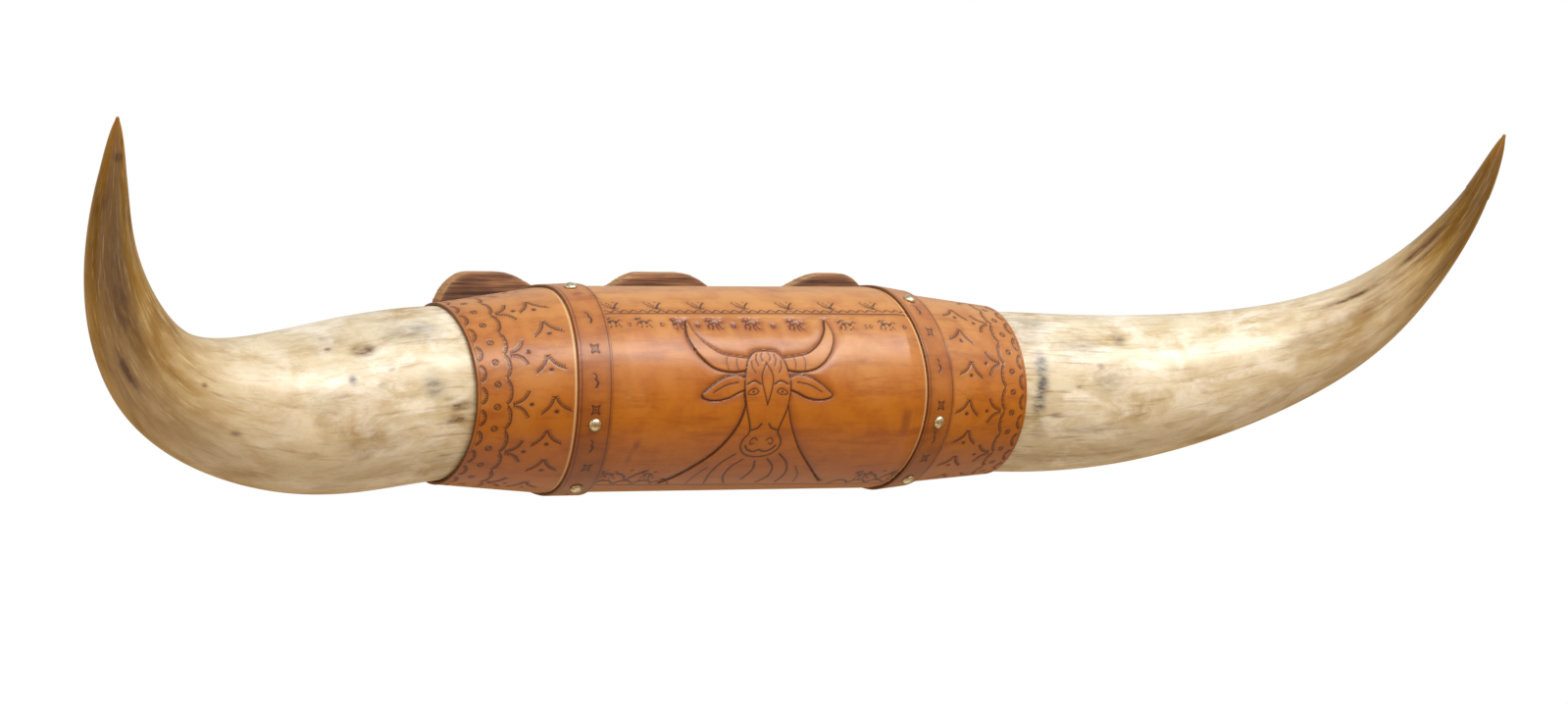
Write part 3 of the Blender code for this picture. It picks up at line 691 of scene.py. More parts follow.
def horn_line(side):
    """Centres, radii, directions and distances from the foot of a horn's rings."""
    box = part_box("horn_" + side)
    foot = 1000.0 * min(abs(box[0].x), abs(box[1].x))
    trial = np.linspace(0.0, 1.0, 2000)
    start = np.interp(foot, spline_stations(HORN_STATIONS[side], trial[:400])[:, 0], trial[:400])
    rows = spline_stations(HORN_STATIONS[side], np.linspace(start, 1.0, HORN_RINGS)) / 1000.0
    centres = np.stack([SIDES[side] * rows[:, 0], AXIS_Y + rows[:, 1], rows[:, 2]], axis=1)
    radii = rows[:, 3]
    left_over = np.linalg.norm(centres[-1] - centres, axis=1)
    blunt = TIP_FULLNESS * (left_over / TIP_LENGTH) ** 0.6
    radii = np.where(left_over < TIP_LENGTH, np.maximum(radii, blunt), radii)
    directions = np.gradient(centres, axis=0)
    directions /= np.linalg.norm(directions, axis=1)[:, None]
    blend = np.clip(np.arange(HORN_RINGS) / FOOT_BLEND, 0.0, 1.0)[:, None]
    directions = directions * blend + np.array([SIDES[side], 0.0, 0.0]) * (1.0 - blend)
    run = np.concatenate([[0.0], np.cumsum(np.linalg.norm(np.diff(centres, axis=0), axis=1))])
    return centres, radii, directions / np.linalg.norm(directions, axis=1)[:, None], run


def horn_mesh(side):
    """Horn's skin with its long flutes, growth ripples and pits, closed round its socket."""
    centres, radii, directions, run = horn_line(side)
    tip = radii[-1]
    rounding = np.linspace(0.0, 0.5 * math.pi, TIP_RINGS + 1)[1:, None]
    centres = np.vstack([centres, centres[-1] + directions[-1] * tip * np.sin(rounding)])
    radii = np.concatenate([radii, tip * np.cos(rounding[:, 0])])
    directions = np.vstack([directions, np.repeat(directions[-1:], TIP_RINGS, axis=0)])
    run = np.concatenate([run, run[-1] + tip * np.sin(rounding[:, 0])])
    front = np.array([0.0, -1.0, 0.0])
    first = front - directions * (directions @ front)[:, None]
    first /= np.linalg.norm(first, axis=1)[:, None]
    second = np.cross(directions, first) * SIDES[side]
    turn = np.linspace(0.0, 2.0 * math.pi, HORN_STEPS, endpoint=False)
    along = run[:, None] + 0.0 * turn
    round_turn = turn + 0.0 * run[:, None]
    fade = np.clip(radii / 0.03, 0.0, 1.0)[:, None]
    sunk = FLUTE_DEPTH * (0.5 + 0.5 * np.cos(2.0 * round_turn + 6.0 * along))
    sunk += 0.4 * FLUTE_DEPTH * (0.5 + 0.5 * np.cos(7.0 * round_turn + 2.0 * np.sin(9.0 * along)))
    ripple = 1.0 + np.cos(along * 690.0 + 0.8 * np.sin(3.0 * round_turn))
    sunk += RIPPLE_DEPTH * ripple * np.exp(-(along / RIPPLE_REACH) ** 2)
    browned = np.zeros_like(sunk)
    greyed = np.zeros_like(sunk)
    for far, degrees, half_length, half_width, depth, brown, grey in HORN_MARKS[side]:
        swing = np.angle(np.exp(1j * (round_turn - math.radians(degrees))))
        off_along = (1000.0 * along - far) / half_length
        off_round = 1000.0 * swing * radii[:, None] / half_width
        spot = np.exp(-(off_along ** 2 + off_round ** 2) ** 1.3)
        sunk += 0.001 * depth * spot
        browned += brown * spot
        greyed += grey * spot
    shown = radii[:, None] - sunk * fade
    around = first[:, None] * np.cos(turn)[:, None] + second[:, None] * np.sin(turn)[:, None]
    rings = centres[:, None] + around * shown[:, :, None]
    mouth = np.array([centres[0, 0], AXIS_Y + SOCKET_BEHIND, 0.0])
    socket = np.array([SIDES[side] * SOCKET_DEPTH, 0.0, 0.0])
    inner = around[0] * SOCKET_RADIUS
    rings = np.concatenate([
        [mouth + socket + 0.0 * inner, mouth + socket + inner, mouth + inner], rings])
    spread = 0.03 + 0.5 * radii[:, None]
    grown = np.stack([spread * np.cos(round_turn), spread * np.sin(round_turn), along], axis=-1)
    share = np.interp(along / run[-1], *HORN_BROWNING[side])
    values = {"grown": grown, "share": share, "browned": browned, "greyed": greyed}
    values = {label: np.concatenate([rows[:1]] * 3 + [rows]) for label, rows in values.items()}
    return ring_mesh("horn_" + side + "_polished", rings, values)


def polished_keratin():
    """Polished horn: translucent beige to brown keratin, streaked along its fibres, softly glossy.

    The noises are stretched along the attribute grown, which follows the fibres.
    """
    keratin, shader, add = start_material("polished_keratin", {
        "IOR": 1.55, "Subsurface Weight": 0.08, "Subsurface Scale": 0.003,
        "Subsurface Radius": (1.0, 0.7, 0.4)})
    grown = add("ShaderNodeAttribute", attribute_name="grown").outputs["Vector"]
    share, browned, greyed = [
        add("ShaderNodeAttribute", attribute_name=name).outputs["Fac"]
        for name in ("share", "browned", "greyed")]
    noises = []
    for stretch, scale, detail, rough, twist in (
            (0.07, 260.0, 5.0, 0.6, 0.0), (0.10, 60.0, 3.0, 0.5, 0.5),
            (0.5, 30.0, 6.0, 0.62, 0.6), (0.5, 44.0, 7.0, 0.68, 0.4),
            (0.06, 330.0, 3.0, 0.5, 0.0), (0.05, 420.0, 4.0, 0.6, 0.0),
            (0.3, 200.0, 5.0, 0.65, 0.0)):
        drawn = add("ShaderNodeMapping", {"Vector": grown, "Scale": (1.0, 1.0, stretch)})
        noises.append(add("ShaderNodeTexNoise", {
            "Vector": drawn, "Scale": scale, "Detail": detail, "Roughness": rough,
            "Distortion": twist}))
    streaks, broad, clouds, chalk, cracks, fibres, rags = noises
    ranges = []
    for value, low, high, to_low, to_high in (
            (broad, 0.3, 0.7, -0.05, 0.05), (share, 0.30, 0.62, 1.0, 0.0),
            (chalk, 0.47, 0.62, 0.0, 0.62), (cracks, 0.60, 0.68, 0.0, 0.55),
            (share, 0.14, 0.26, 1.0, 0.0), (fibres, 0.56, 0.70, 0.0, 0.5),
            (rags, 0.32, 0.60, 0.25, 1.25), (clouds, 0.3, 0.7, 0.24, 0.42),
            (share, 0.60, 0.80, 0.0, 0.14)):
        ranges.append(add("ShaderNodeMapRange", {
            "Value": value, "From Min": low, "From Max": high, "To Min": to_low,
            "To Max": to_high}))
    wander, foot, chalky, cracked, near_foot, pale_fibre, ragged, dull, polish = ranges
    sums = []
    for operation, first, second in (
            ("ADD", share, wander), ("MULTIPLY", chalky, foot), ("MULTIPLY", cracked, near_foot),
            ("MULTIPLY", browned, ragged), ("MULTIPLY", greyed, ragged),
            ("SUBTRACT", dull, polish)):
        sums.append(add("ShaderNodeMath", {0: first, 1: second}, operation=operation))
    placed, chalked, crack, brown, grey, matt = sums
    ground = add("ShaderNodeValToRGB", {0: placed}, (
        (0.0, "#D8CDB2"), (0.28, "#D5C8AB"), (0.50, "#D0C09F"), (0.64, "#C2AB80"),
        (0.75, "#9C7D40"), (0.86, "#836426"), (0.93, "#8C6A28"), (1.0, "#B88838")))
    tan = add("ShaderNodeValToRGB", {0: clouds}, ((0.40, "#FFFFFF"), (0.66, "#D3BF9B")))
    fibre = add("ShaderNodeValToRGB", {0: streaks}, ((0.30, "#A07C4A"), (0.45, "#FFFFFF")))
    colour = layer_colours(
        add, ground, (1.0, tan, "MULTIPLY"), (chalked, "#F2ECDF", "MIX"),
        (0.40, fibre, "MULTIPLY"), (crack, "#8A6636", "MIX"), (pale_fibre, "#E3CFA2", "MIX"),
        (brown, "#5E3C1C", "MIX"), (grey, "#5C5853", "MIX"))
    bump = add("ShaderNodeBump", {"Height": streaks, "Strength": 0.12, "Distance": 0.0004})
    fill_sockets(shader, {"Base Color": colour, "Roughness": matt, "Normal": bump})
    return keratin


keratin = polished_keratin()
for side in SIDES:
    horn = new_piece("horn_" + side + "_polished", horn_mesh(side), keratin)
    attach(horn, "root")
    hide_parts("horn_" + side)


# Centre panel: one sheet of vegetable-tanned leather, tooled flat with stamps and a swivel knife,
# dyed and oiled to amber, then wrapped wet round the core and glued down. The figure is a plain
# frontal steer's head, with its ground beaten down round it.
GAP = 0.0003
STRAP_X = 0.134
STRAP_WIDTH = 0.0254
STRAP_BOW = 0.0075
LEATHER = 0.0020
CUT_ROUND = 0.0007
ROLL_BREAKS = (0.115, 0.150, 0.225)
ROLL_SET_BACK = (0.0, 0.005, 0.012)
ROLL_FRONT = {"left": (0.074, 0.0735, 0.0650), "right": (0.074, 0.0699, 0.0628)}
ROLL_BACK = 0.124
HORN_DROP = 0.0035
AXIS_TO_BOARD = 0.112
BACK_SEAM = 0.0006
SHARED_TURN = 5.0 / 6.0
SHARED_ANGLE = math.radians(150.0)
LAID_RADIUS = 0.074
DEGREE = 1000.0 * LAID_RADIUS * math.pi / 180.0
UNDERSIDE = (1.0, 0.8, 0.5, 0.2, 0.0)


def roll_section(x):
    """Set-back, radius in front and half depth behind, at places along the roll."""
    out = np.abs(x)
    radius = np.where(x < 0.0, np.interp(out, ROLL_BREAKS, ROLL_FRONT["left"]),
                      np.interp(out, ROLL_BREAKS, ROLL_FRONT["right"]))
    edge = np.where(x < 0.0, ROLL_FRONT["left"][2], ROLL_FRONT["right"][2])
    taper = np.clip((out - ROLL_BREAKS[0]) / (ROLL_BREAKS[2] - ROLL_BREAKS[0]), 0.0, 1.0)
    return np.interp(out, ROLL_BREAKS, ROLL_SET_BACK), radius, ROLL_BACK + (edge - ROLL_BACK) * taper


def spread_angles(turn, x, proud):
    """Angles from the front for turns of -1 to 1, the last of them reaching the board or back seam."""
    set_back, _, back = roll_section(x)
    reach = np.minimum((AXIS_TO_BOARD - GAP - set_back) / (back + proud), 1.0)
    limit = np.minimum(np.arccos(-reach), math.pi - 0.5 * BACK_SEAM / (back + proud))
    shared = np.minimum(np.abs(turn) / SHARED_TURN, 1.0) * SHARED_ANGLE
    rest = np.maximum(np.abs(turn) - SHARED_TURN, 0.0) / (1.0 - SHARED_TURN)
    return np.copysign(shared + rest * (limit - SHARED_ANGLE), turn)


def roll_points(x, angle, proud):
    """Points over the roll; angle 0 is the front and a quarter turn is the top."""
    set_back, radius, back = roll_section(x)
    depth = np.where(np.cos(angle) > 0.0, radius, back)
    drop = np.interp(np.abs(x), (ROLL_BREAKS[0], ROLL_BREAKS[2]), (0.0, HORN_DROP))
    y = AXIS_Y + set_back - (depth + proud) * np.cos(angle)
    return np.stack([x + 0.0 * angle, y, (radius + proud) * np.sin(angle) - drop], axis=-1)


def strap_centre(angle):
    return STRAP_X + STRAP_BOW * np.maximum(np.cos(angle), 0.0) ** 2


def beside_strap(sign, off):
    """Line at a distance from the middle of a strap, as a function of the angle."""
    return lambda angle: sign * strap_centre(angle) + off


def turns_round(fine_low, fine_high, fine_step, coarse_step, end):
    """Turns round the roll from degrees: fine steps in front, coarse steps behind."""
    fine = np.linspace(fine_low, fine_high, round((fine_high - fine_low) / fine_step) + 1)
    below = np.linspace(-end, fine_low, round((fine_low + end) / coarse_step) + 1)[:-1]
    above = np.linspace(fine_high, end, round((end - fine_high) / coarse_step) + 1)[1:]
    return np.concatenate([below, fine, above]) / 180.0


def sheet_mesh(name, edge_low, edge_high, across, turns, proud, thickness):
    """Sheet over the roll between two edges, given as functions of the angle, with rounded edges.

    The attribute laid holds every point's place on the flat sheet before it was wrapped, and
    rim is 1 on the cut edges.
    """
    width = across[-1] - across[0]
    near_edge = np.array([0.0, 0.06, 0.22, 0.5, 1.0]) * CUT_ROUND / width
    inner = (across[1:-1] - across[0]) / width
    inner = inner[(inner > near_edge[-1] * 1.3) & (inner < 1.0 - near_edge[-1] * 1.3)]
    share = np.concatenate([near_edge, inner, 1.0 - near_edge[::-1]])
    inset = np.maximum(CUT_ROUND - np.minimum(share, 1.0 - share) * width, 0.0)
    fall = CUT_ROUND - np.sqrt(CUT_ROUND ** 2 - inset ** 2)
    height = np.concatenate([proud - fall, np.full(len(UNDERSIDE), proud - thickness)])
    rim = np.concatenate([inset / CUT_ROUND, np.ones(len(UNDERSIDE))])
    under = np.concatenate([np.zeros(len(share)), np.full(len(UNDERSIDE), 0.05)])
    share = np.concatenate([share, UNDERSIDE])
    turn = turns[:, None] + 0.0 * share
    rough = turn * math.pi
    x = edge_low(rough) + (edge_high(rough) - edge_low(rough)) * share
    angle = spread_angles(turn, x, proud)
    x = edge_low(angle) + (edge_high(angle) - edge_low(angle)) * share
    rings = roll_points(x, angle, height)
    laid = np.stack([x, angle * LAID_RADIUS, under + 0.0 * x], axis=-1)
    return ring_mesh(name, rings, {"laid": laid, "rim": rim + 0.0 * x})


def steps_between(low, high, spacing):
    return np.linspace(low, high, max(round((high - low) / spacing), 1) + 1)


def curve_through(points, closed=False):
    """Points about 0.6 mm apart on a smooth curve through the given ones, in millimetres."""
    knots = np.array(points, dtype=float)
    if closed:
        knots = np.vstack([knots[-1:], knots, knots[:2]])
    else:
        knots = np.vstack([2.0 * knots[0] - knots[1], knots, 2.0 * knots[-1] - knots[-2]])
    rows = []
    for before, start, end, after in zip(knots, knots[1:], knots[2:], knots[3:]):
        count = max(round(np.linalg.norm(end - start) / 0.6), 1)
        share = (np.arange(count) / count)[:, None]
        rows.append(0.5 * (2.0 * start + (end - before) * share
                           + (2.0 * before - 5.0 * start + 4.0 * end - after) * share ** 2
                           + (3.0 * start - before - 3.0 * end + after) * share ** 3))
    return np.vstack(rows + [knots[-2:-1]])


def stroke(points, half_width=0.65, depth=0.6, closed=False):
    return curve_through(points, closed), half_width, depth


def toothed(points, side, half_width=0.42, depth=0.6):
    """Stroke with a row of short teeth along one side, as a veiner leaves."""
    line = curve_through(points)
    strokes = [(line, half_width, depth)]
    for index in range(1, len(line) - 1, 3):
        along = line[index + 1] - line[index - 1]
        across = np.array([-along[1], along[0]]) / np.linalg.norm(along) * side
        tooth = np.stack([line[index], line[index] + 1.0 * across, line[index] + 2.0 * across])
        strokes.append((tooth, 0.36, 0.9 * depth))
    return strokes


def round_line(x, y, radius_x, radius_y):
    turn = np.linspace(0.0, 2.0 * math.pi, 9)[:-1]
    return [(x + radius_x * math.cos(t), y + radius_y * math.sin(t)) for t in turn]


def dot(x, y, radius=0.85):
    return stroke([(x - 0.25, y), (x, y), (x + 0.25, y)], radius, 0.55)


def stroke_mesh(name, strokes):
    """Loose edges along the strokes, with each stroke's half width and depth on its points."""
    places = np.vstack([line for line, _, _ in strokes]) / 1000.0
    edges = []
    first = 0
    for line, _, _ in strokes:
        edges += [(first + step, first + step + 1) for step in range(len(line) - 1)]
        first += len(line)
    mesh = bpy.data.meshes.new(name)
    mesh.from_pydata([(x, y, 0.0) for x, y in places], edges, [])
    for label, place in (("half_width", 1), ("depth", 2)):
        add_values(mesh, label, np.concatenate([
            np.full(len(row[0]), row[place] / 1000.0) for row in strokes]))
    return mesh


# Stamps as strokes in millimetres: x runs towards the panel on the left-hand side, y runs up.
STAMPS = {
    "crescent": toothed([(-1.6, -6.8), (0.6, -4.2), (1.5, 0), (0.6, 4.2), (-1.6, 6.8)], 1),
    "scallop": toothed([(-1.7, -9.6), (0.7, -6), (1.6, 0), (0.7, 6), (-1.7, 9.6)], 1),
    "flare": (toothed([(0, 0.4), (4.6, 1.7), (8.6, 4.6), (11.6, 9.8)], 1)
              + toothed([(0, -0.4), (4.6, -1.7), (8.6, -4.6), (11.6, -9.8)], -1)
              + [dot(13, 0, 1.35)]),
    "tent": (toothed([(0, 0), (-1.8, -5.2), (-4.8, -9.6), (-9.2, -13.4)], -1)
             + toothed([(0, 0), (2.6, -4.8), (6.6, -8.4), (12.2, -10.8)], 1)
             + [dot(1.5, -11.2, 1.45)]),
    "seed": [stroke(round_line(0, 0, 2.1, 2.1), 0.42, 0.42, True),
             stroke([(-1.2, -1.2), (1.2, 1.2)], 0.42, 0.42)],
    "star": [stroke([(-2.9, 3.2), (0, 2), (2.9, 3.2)], 0.45, 0.45),
             stroke([(2.9, 3.2), (1.8, 0), (2.9, -3.2)], 0.45, 0.45),
             stroke([(2.9, -3.2), (0, -2), (-2.9, -3.2)], 0.45, 0.45),
             stroke([(-2.9, -3.2), (-1.8, 0), (-2.9, 3.2)], 0.45, 0.45),
             stroke([(-0.7, 0), (0, 0.9), (0.7, 0), (0, -0.9)], 0.3, 0.3, True)],
    "comma": [stroke([(-1.6, 4.4), (0.1, 2.8), (-0.5, 0.4)], 0.45, 0.42),
              stroke([(-0.5, 0.4), (0.9, -1.6), (0.6, -3.6), (-0.4, -5.2)], 0.7, 0.5)],
    "dash": [stroke([(-2, -0.3), (2, 0.5)], 0.4, 0.3)],
    "plant": [stroke([(0, 0), (-3.6, 2.6), (-8.6, 6.2)], 0.42, 0.45),
              stroke([(0, 0), (-1.6, 3.4), (-4.6, 6.8)], 0.36, 0.4),
              stroke([(0, 0), (1.2, 3.6), (4.6, 6.6)], 0.6, 0.48),
              stroke([(-7.2, 3), (-4.2, 1.4), (0, 0), (3.2, 0.8)], 0.36, 0.4),
              dot(-7.4, 7.4, 0.5), dot(1.2, 7.2, 0.5)],
    "wave": [stroke([(-3.3, 0), (-1.6, 1.2), (0.4, 1.3), (3.3, 0)], 0.45, 0.45)],
    "pony": [stroke([(-3.4, 0.2), (-0.8, 1.3), (2.6, 0.5)], 0.75, 0.55),
             stroke([(-3.2, 0.55), (-4.4, 3), (-5.8, 1.8)], 0.5, 0.5),
             stroke([(-4.2, 3.4), (-2.4, 2.4), (-1.6, 3.6)], 0.36, 0.55),
             stroke([(-3, 0), (-4.8, -1.2), (-4.6, -3.2)], 0.4, 0.5),
             stroke([(-2, 0.2), (-1.4, -1.8), (-2.4, -3.6)], 0.4, 0.5),
             stroke([(1.6, 0.55), (1, -1.6), (2, -3.4)], 0.4, 0.5),
             stroke([(2.4, 0.55), (3.6, -1.4), (4.8, -2.8)], 0.4, 0.5),
             stroke([(2.6, 0.6), (4.2, 2.2), (5.6, 1.4)], 0.4, 0.45)],
    "blossom": [stroke(round_line(0, 0, 1.3, 1.2), 0.45, 0.34, True)],
    "gull": [stroke([(0, 0), (-3.6, 3.4), (-9, 4.8)], 0.8, 0.6),
             stroke([(0, 0), (4.2, 3.6), (10.5, 5.6)], 0.8, 0.6), dot(0.4, 6.4, 0.8)],
    "bank": [stroke([(-7.4, -1.2), (-4, 0.9), (0, 1.4), (4, 0.9), (7.4, -1.2)], 0.75, 0.6)],
}
stamp_kinds = {name: index for index, name in enumerate(STAMPS)}
stamp_patterns = bpy.data.collections.new("stamps")
bpy.context.scene.collection.children.link(stamp_patterns)
for name, index in stamp_kinds.items():
    label = "stamp_" + str(index).zfill(2) + "_" + name
    pattern = bpy.data.objects.new(label, stroke_mesh(label, STAMPS[name]))
    stamp_patterns.objects.link(pattern)
HALO_REACH = 0.0032
DYE_AND_SHADE_PER_DEPTH = 2400.0


def tooling_tree():
    """Geometry Nodes: strokes and stamps, laid out on the flat sheet, pressed into the wrapped one.

    Each point's distance from the nearest stroke is measured where it lay on the flat sheet. Two
    attributes keep the darker colour in the strokes and on the ground near them, partly dyed and
    partly painted shade.
    """
    tree, add, given = start_tree(
        "press_tooling", ("Strokes", "Object"), ("Stamp places", "Object"),
        ("Stamps", "Collection"), ("Beaten depth", "Float"), ("Leather", "Material"))
    read = {}
    for name, kind in (("kind", "INT"), ("spin", "FLOAT_VECTOR"), ("stretch", "FLOAT_VECTOR"),
                       ("laid", "FLOAT_VECTOR"), ("half_width", "FLOAT"), ("depth", "FLOAT"),
                       ("ground", "FLOAT")):
        read[name] = add("GeometryNodeInputNamedAttribute", {"Name": name}, data_type=kind)
    strokes = add("GeometryNodeObjectInfo", {"Object": given["Strokes"]})
    places = add("GeometryNodeObjectInfo", {"Object": given["Stamp places"]})
    kinds = add("GeometryNodeCollectionInfo", {
        "Collection": given["Stamps"], "Separate Children": True, "Reset Children": True})
    stamped = add("GeometryNodeInstanceOnPoints", {
        "Points": places.outputs["Geometry"], "Instance": kinds, "Pick Instance": True,
        "Instance Index": read["kind"], "Rotation": read["spin"], "Scale": read["stretch"]})
    real = add("GeometryNodeRealizeInstances", {0: stamped})
    lines = add("GeometryNodeJoinGeometry", {0: strokes.outputs["Geometry"]})
    fill_sockets(lines, {0: real})
    near = add("GeometryNodeProximity", {
        "Geometry": lines, "Sample Position": read["laid"]}, target_element="EDGES")
    nearest = add("GeometryNodeSampleNearest", {0: lines, 1: read["laid"]}, domain="POINT")
    values = {"distance": near.outputs["Distance"], "ground": read["ground"],
              "beaten depth": given["Beaten depth"]}
    for name in ("half_width", "depth"):
        values[name] = add("GeometryNodeSampleIndex", {
            "Geometry": lines, "Value": read[name], "Index": nearest})
    # The darkening worked out here, in the cuts, beside them and on the beaten ground, is partly dyed
    # colour and partly painted shade.
    for name, operation, first, second in (
            ("ratio", "DIVIDE", "distance", "half_width"), ("square", "MULTIPLY", "ratio", "ratio"),
            ("fall", "MULTIPLY", "square", -1.0), ("groove", "EXPONENT", "fall", 0.0),
            ("away", "MULTIPLY", "distance", -1.0 / HALO_REACH), ("beside", "EXPONENT", "away", 0.0),
            ("low ground", "MULTIPLY", "beside", "ground"),
            ("beaten", "MULTIPLY", "low ground", "beaten depth"),
            ("cut", "MULTIPLY", "groove", "depth"), ("pressed", "ADD", "cut", "beaten"),
            ("inwards", "MULTIPLY", "pressed", -1.0), ("dye", "MULTIPLY", "depth", DYE_AND_SHADE_PER_DEPTH),
            ("full dye", "MINIMUM", "dye", 1.0), ("mark", "MULTIPLY", "groove", "full dye"),
            ("half beside", "MULTIPLY", "beside", 0.5),
            ("halo", "ADD", "half beside", "low ground")):
        values[name] = add("ShaderNodeMath", {
            0: values.get(first, first), 1: values.get(second, second)}, operation=operation)
    offset = add("ShaderNodeVectorMath", {
        0: add("GeometryNodeInputNormal"), "Scale": values["inwards"]}, operation="SCALE")
    sheet = given["Geometry"]
    for name in ("mark", "halo"):
        sheet = add("GeometryNodeStoreNamedAttribute", {
            "Geometry": sheet, "Name": name, "Value": values[name]})
    moved = add("GeometryNodeSetPosition", {"Geometry": sheet, "Offset": offset})
    end_tree(add, moved, given["Leather"])
    return tree


def stamp_places(name, rows):
    """Points for stamps from rows of kind, x, y in millimetres, spin in degrees, width and height."""
    mesh = bpy.data.meshes.new(name)
    mesh.from_pydata([(row[1] / 1000.0, row[2] / 1000.0, 0.0) for row in rows], [], [])
    add_values(mesh, "kind", [stamp_kinds[row[0]] for row in rows])
    add_values(mesh, "spin", [(0.0, 0.0, math.radians(row[3])) for row in rows])
    add_values(mesh, "stretch", [(row[4], row[5], 1.0) for row in rows])
    return mesh


def tool_leather(sheet, strokes, stamps, leather, beaten=0.0):
    """Presses strokes and stamps into a sheet and gives it its leather."""
    lines = new_piece(sheet.name + "_strokes", stroke_mesh(sheet.name + "_strokes", strokes))
    places = new_piece(sheet.name + "_stamps", stamp_places(sheet.name + "_stamps", stamps))
    run_tree(sheet, tooling, {"Strokes": lines, "Stamp places": places, "Stamps": stamp_patterns,
                              "Beaten depth": beaten, "Leather": leather})


def read_laid(mesh):
    """Places on the flat sheet of a mesh's points, in millimetres."""
    return read_vectors(mesh.attributes["laid"].data, "vector", np.float32)[:, :2] * 1000.0


def strap_shadow(places, sign):
    """Painted highlight: a pale line on the leather just left of a strap, for the lit crest of leather
    pressed up by it.
    """
    turn = places[:, 1] / (1000.0 * LAID_RADIUS)
    off = places[:, 0] - 1000.0 * (sign * strap_centre(turn) - 0.5 * STRAP_WIDTH - 0.0011)
    return np.exp(-(off / 0.7) ** 2)


def inside_loop(places, loop):
    """Whether places lie inside a closed line."""
    inside = np.zeros(len(places), dtype=bool)
    for (x1, y1), (x2, y2) in zip(loop, np.roll(loop, -1, axis=0)):
        spans = (y1 > places[:, 1]) != (y2 > places[:, 1])
        rise = y2 - y1 if y2 != y1 else 1.0
        crossing = (x2 - x1) * (places[:, 1] - y1) / rise + x1
        inside ^= spans & (places[:, 0] < crossing)
    return inside


def tanned_leather(name, low, middle, high, dyed, grain_scale):
    """Oiled vegetable-tanned leather, satin: amber, with painted shading down the roll; cuts darker
    from dyeing and painted shade.
    """
    leather, shader, add = start_material(name, {
        "IOR": 1.33, "Coat Weight": 0.65, "Coat Roughness": 0.28})
    place = add("ShaderNodeTexCoord").outputs["Object"]
    mark, halo, rim, stain, undyed = [
        add("ShaderNodeAttribute", attribute_name=name).outputs["Fac"]
        for name in ("mark", "halo", "rim", "stain", "undyed")]
    axes = add("ShaderNodeSeparateXYZ", {0: place})
    cloud = add("ShaderNodeTexNoise", {
        "Vector": place, "Scale": 14.0, "Detail": 5.0, "Roughness": 0.6})
    wander = add("ShaderNodeMapRange", {
        "Value": cloud, "From Min": 0.3, "From Max": 0.7, "To Min": -0.03, "To Max": 0.03})
    # Painted shading: the colour runs from low, darker, at the bottom of the roll to high, lighter, at
    # the top.
    level = add("ShaderNodeMath", {0: axes.outputs["Z"], 1: wander})
    height = add("ShaderNodeMapRange", {"Value": level, "From Min": -0.08, "From Max": 0.08})
    tone_with_painted_shading = add("ShaderNodeValToRGB", {0: height}, ((0.05, low), (0.5, middle), (0.95, high)))
    hides = add("ShaderNodeTexNoise", {
        "Vector": place, "Scale": 55.0, "Detail": 6.0, "Roughness": 0.65})
    blotch = add("ShaderNodeValToRGB", {0: hides}, ((0.30, "#DDC4AE"), (0.55, "#FFFFFF")))
    drawn = add("ShaderNodeMapping", {"Vector": place, "Scale": (9.0, 60.0, 60.0)})
    rubbed = add("ShaderNodeTexNoise", {
        "Vector": drawn, "Scale": 1.6, "Detail": 7.0, "Roughness": 0.7})
    rub = add("ShaderNodeValToRGB", {0: rubbed}, ((0.34, "#B98E6C"), (0.50, "#FFFFFF")))
    # Partly dyed, partly painted shade: the ground beside the cuts and the beaten ground round the
    # figure darken.
    ground_dye_and_shade_amount = add("ShaderNodeMath", {0: halo, 1: 0.7}, operation="MULTIPLY")
    # Partly dyed, partly painted shade: the cuts darken to a near black brown.
    sunk = add("ShaderNodeMapRange", {
        "Value": mark, "From Min": 0.06, "From Max": 0.72, "To Max": 0.92})
    edge = add("ShaderNodeMath", {0: rim, 1: 0.8}, operation="MULTIPLY")
    # The pale layer last of all is a painted highlight beside each strap's left edge.
    colour = layer_colours(
        add, tone_with_painted_shading, (0.6, blotch, "MULTIPLY"), (0.45, rub, "MULTIPLY"), (ground_dye_and_shade_amount, dyed, "MIX"),
        (sunk, "#3E1A08", "MIX"), (edge, "#5A2A12", "MIX"), (stain, "#7A3A14", "MIX"),
        (undyed, "#E6BE8A", "MIX"))
    pores = add("ShaderNodeTexVoronoi", {
        "Vector": place, "Scale": grain_scale}, feature="DISTANCE_TO_EDGE")
    relief = add("ShaderNodeMath", {0: pores, 1: hides})
    finish(shader, add, colour, hides, (0.48, 0.66), relief, 0.22, 0.0003)
    return leather


def figure_outline(half, shift):
    """Closed outline from its right-hand half, mirrored about its axis and moved across."""
    right = np.array(half, dtype=float)
    left = (right * (-1.0, 1.0))[::-1]
    return curve_through(np.vstack([right, left]), True) + (shift, 0.0)


tooling = tooling_tree()
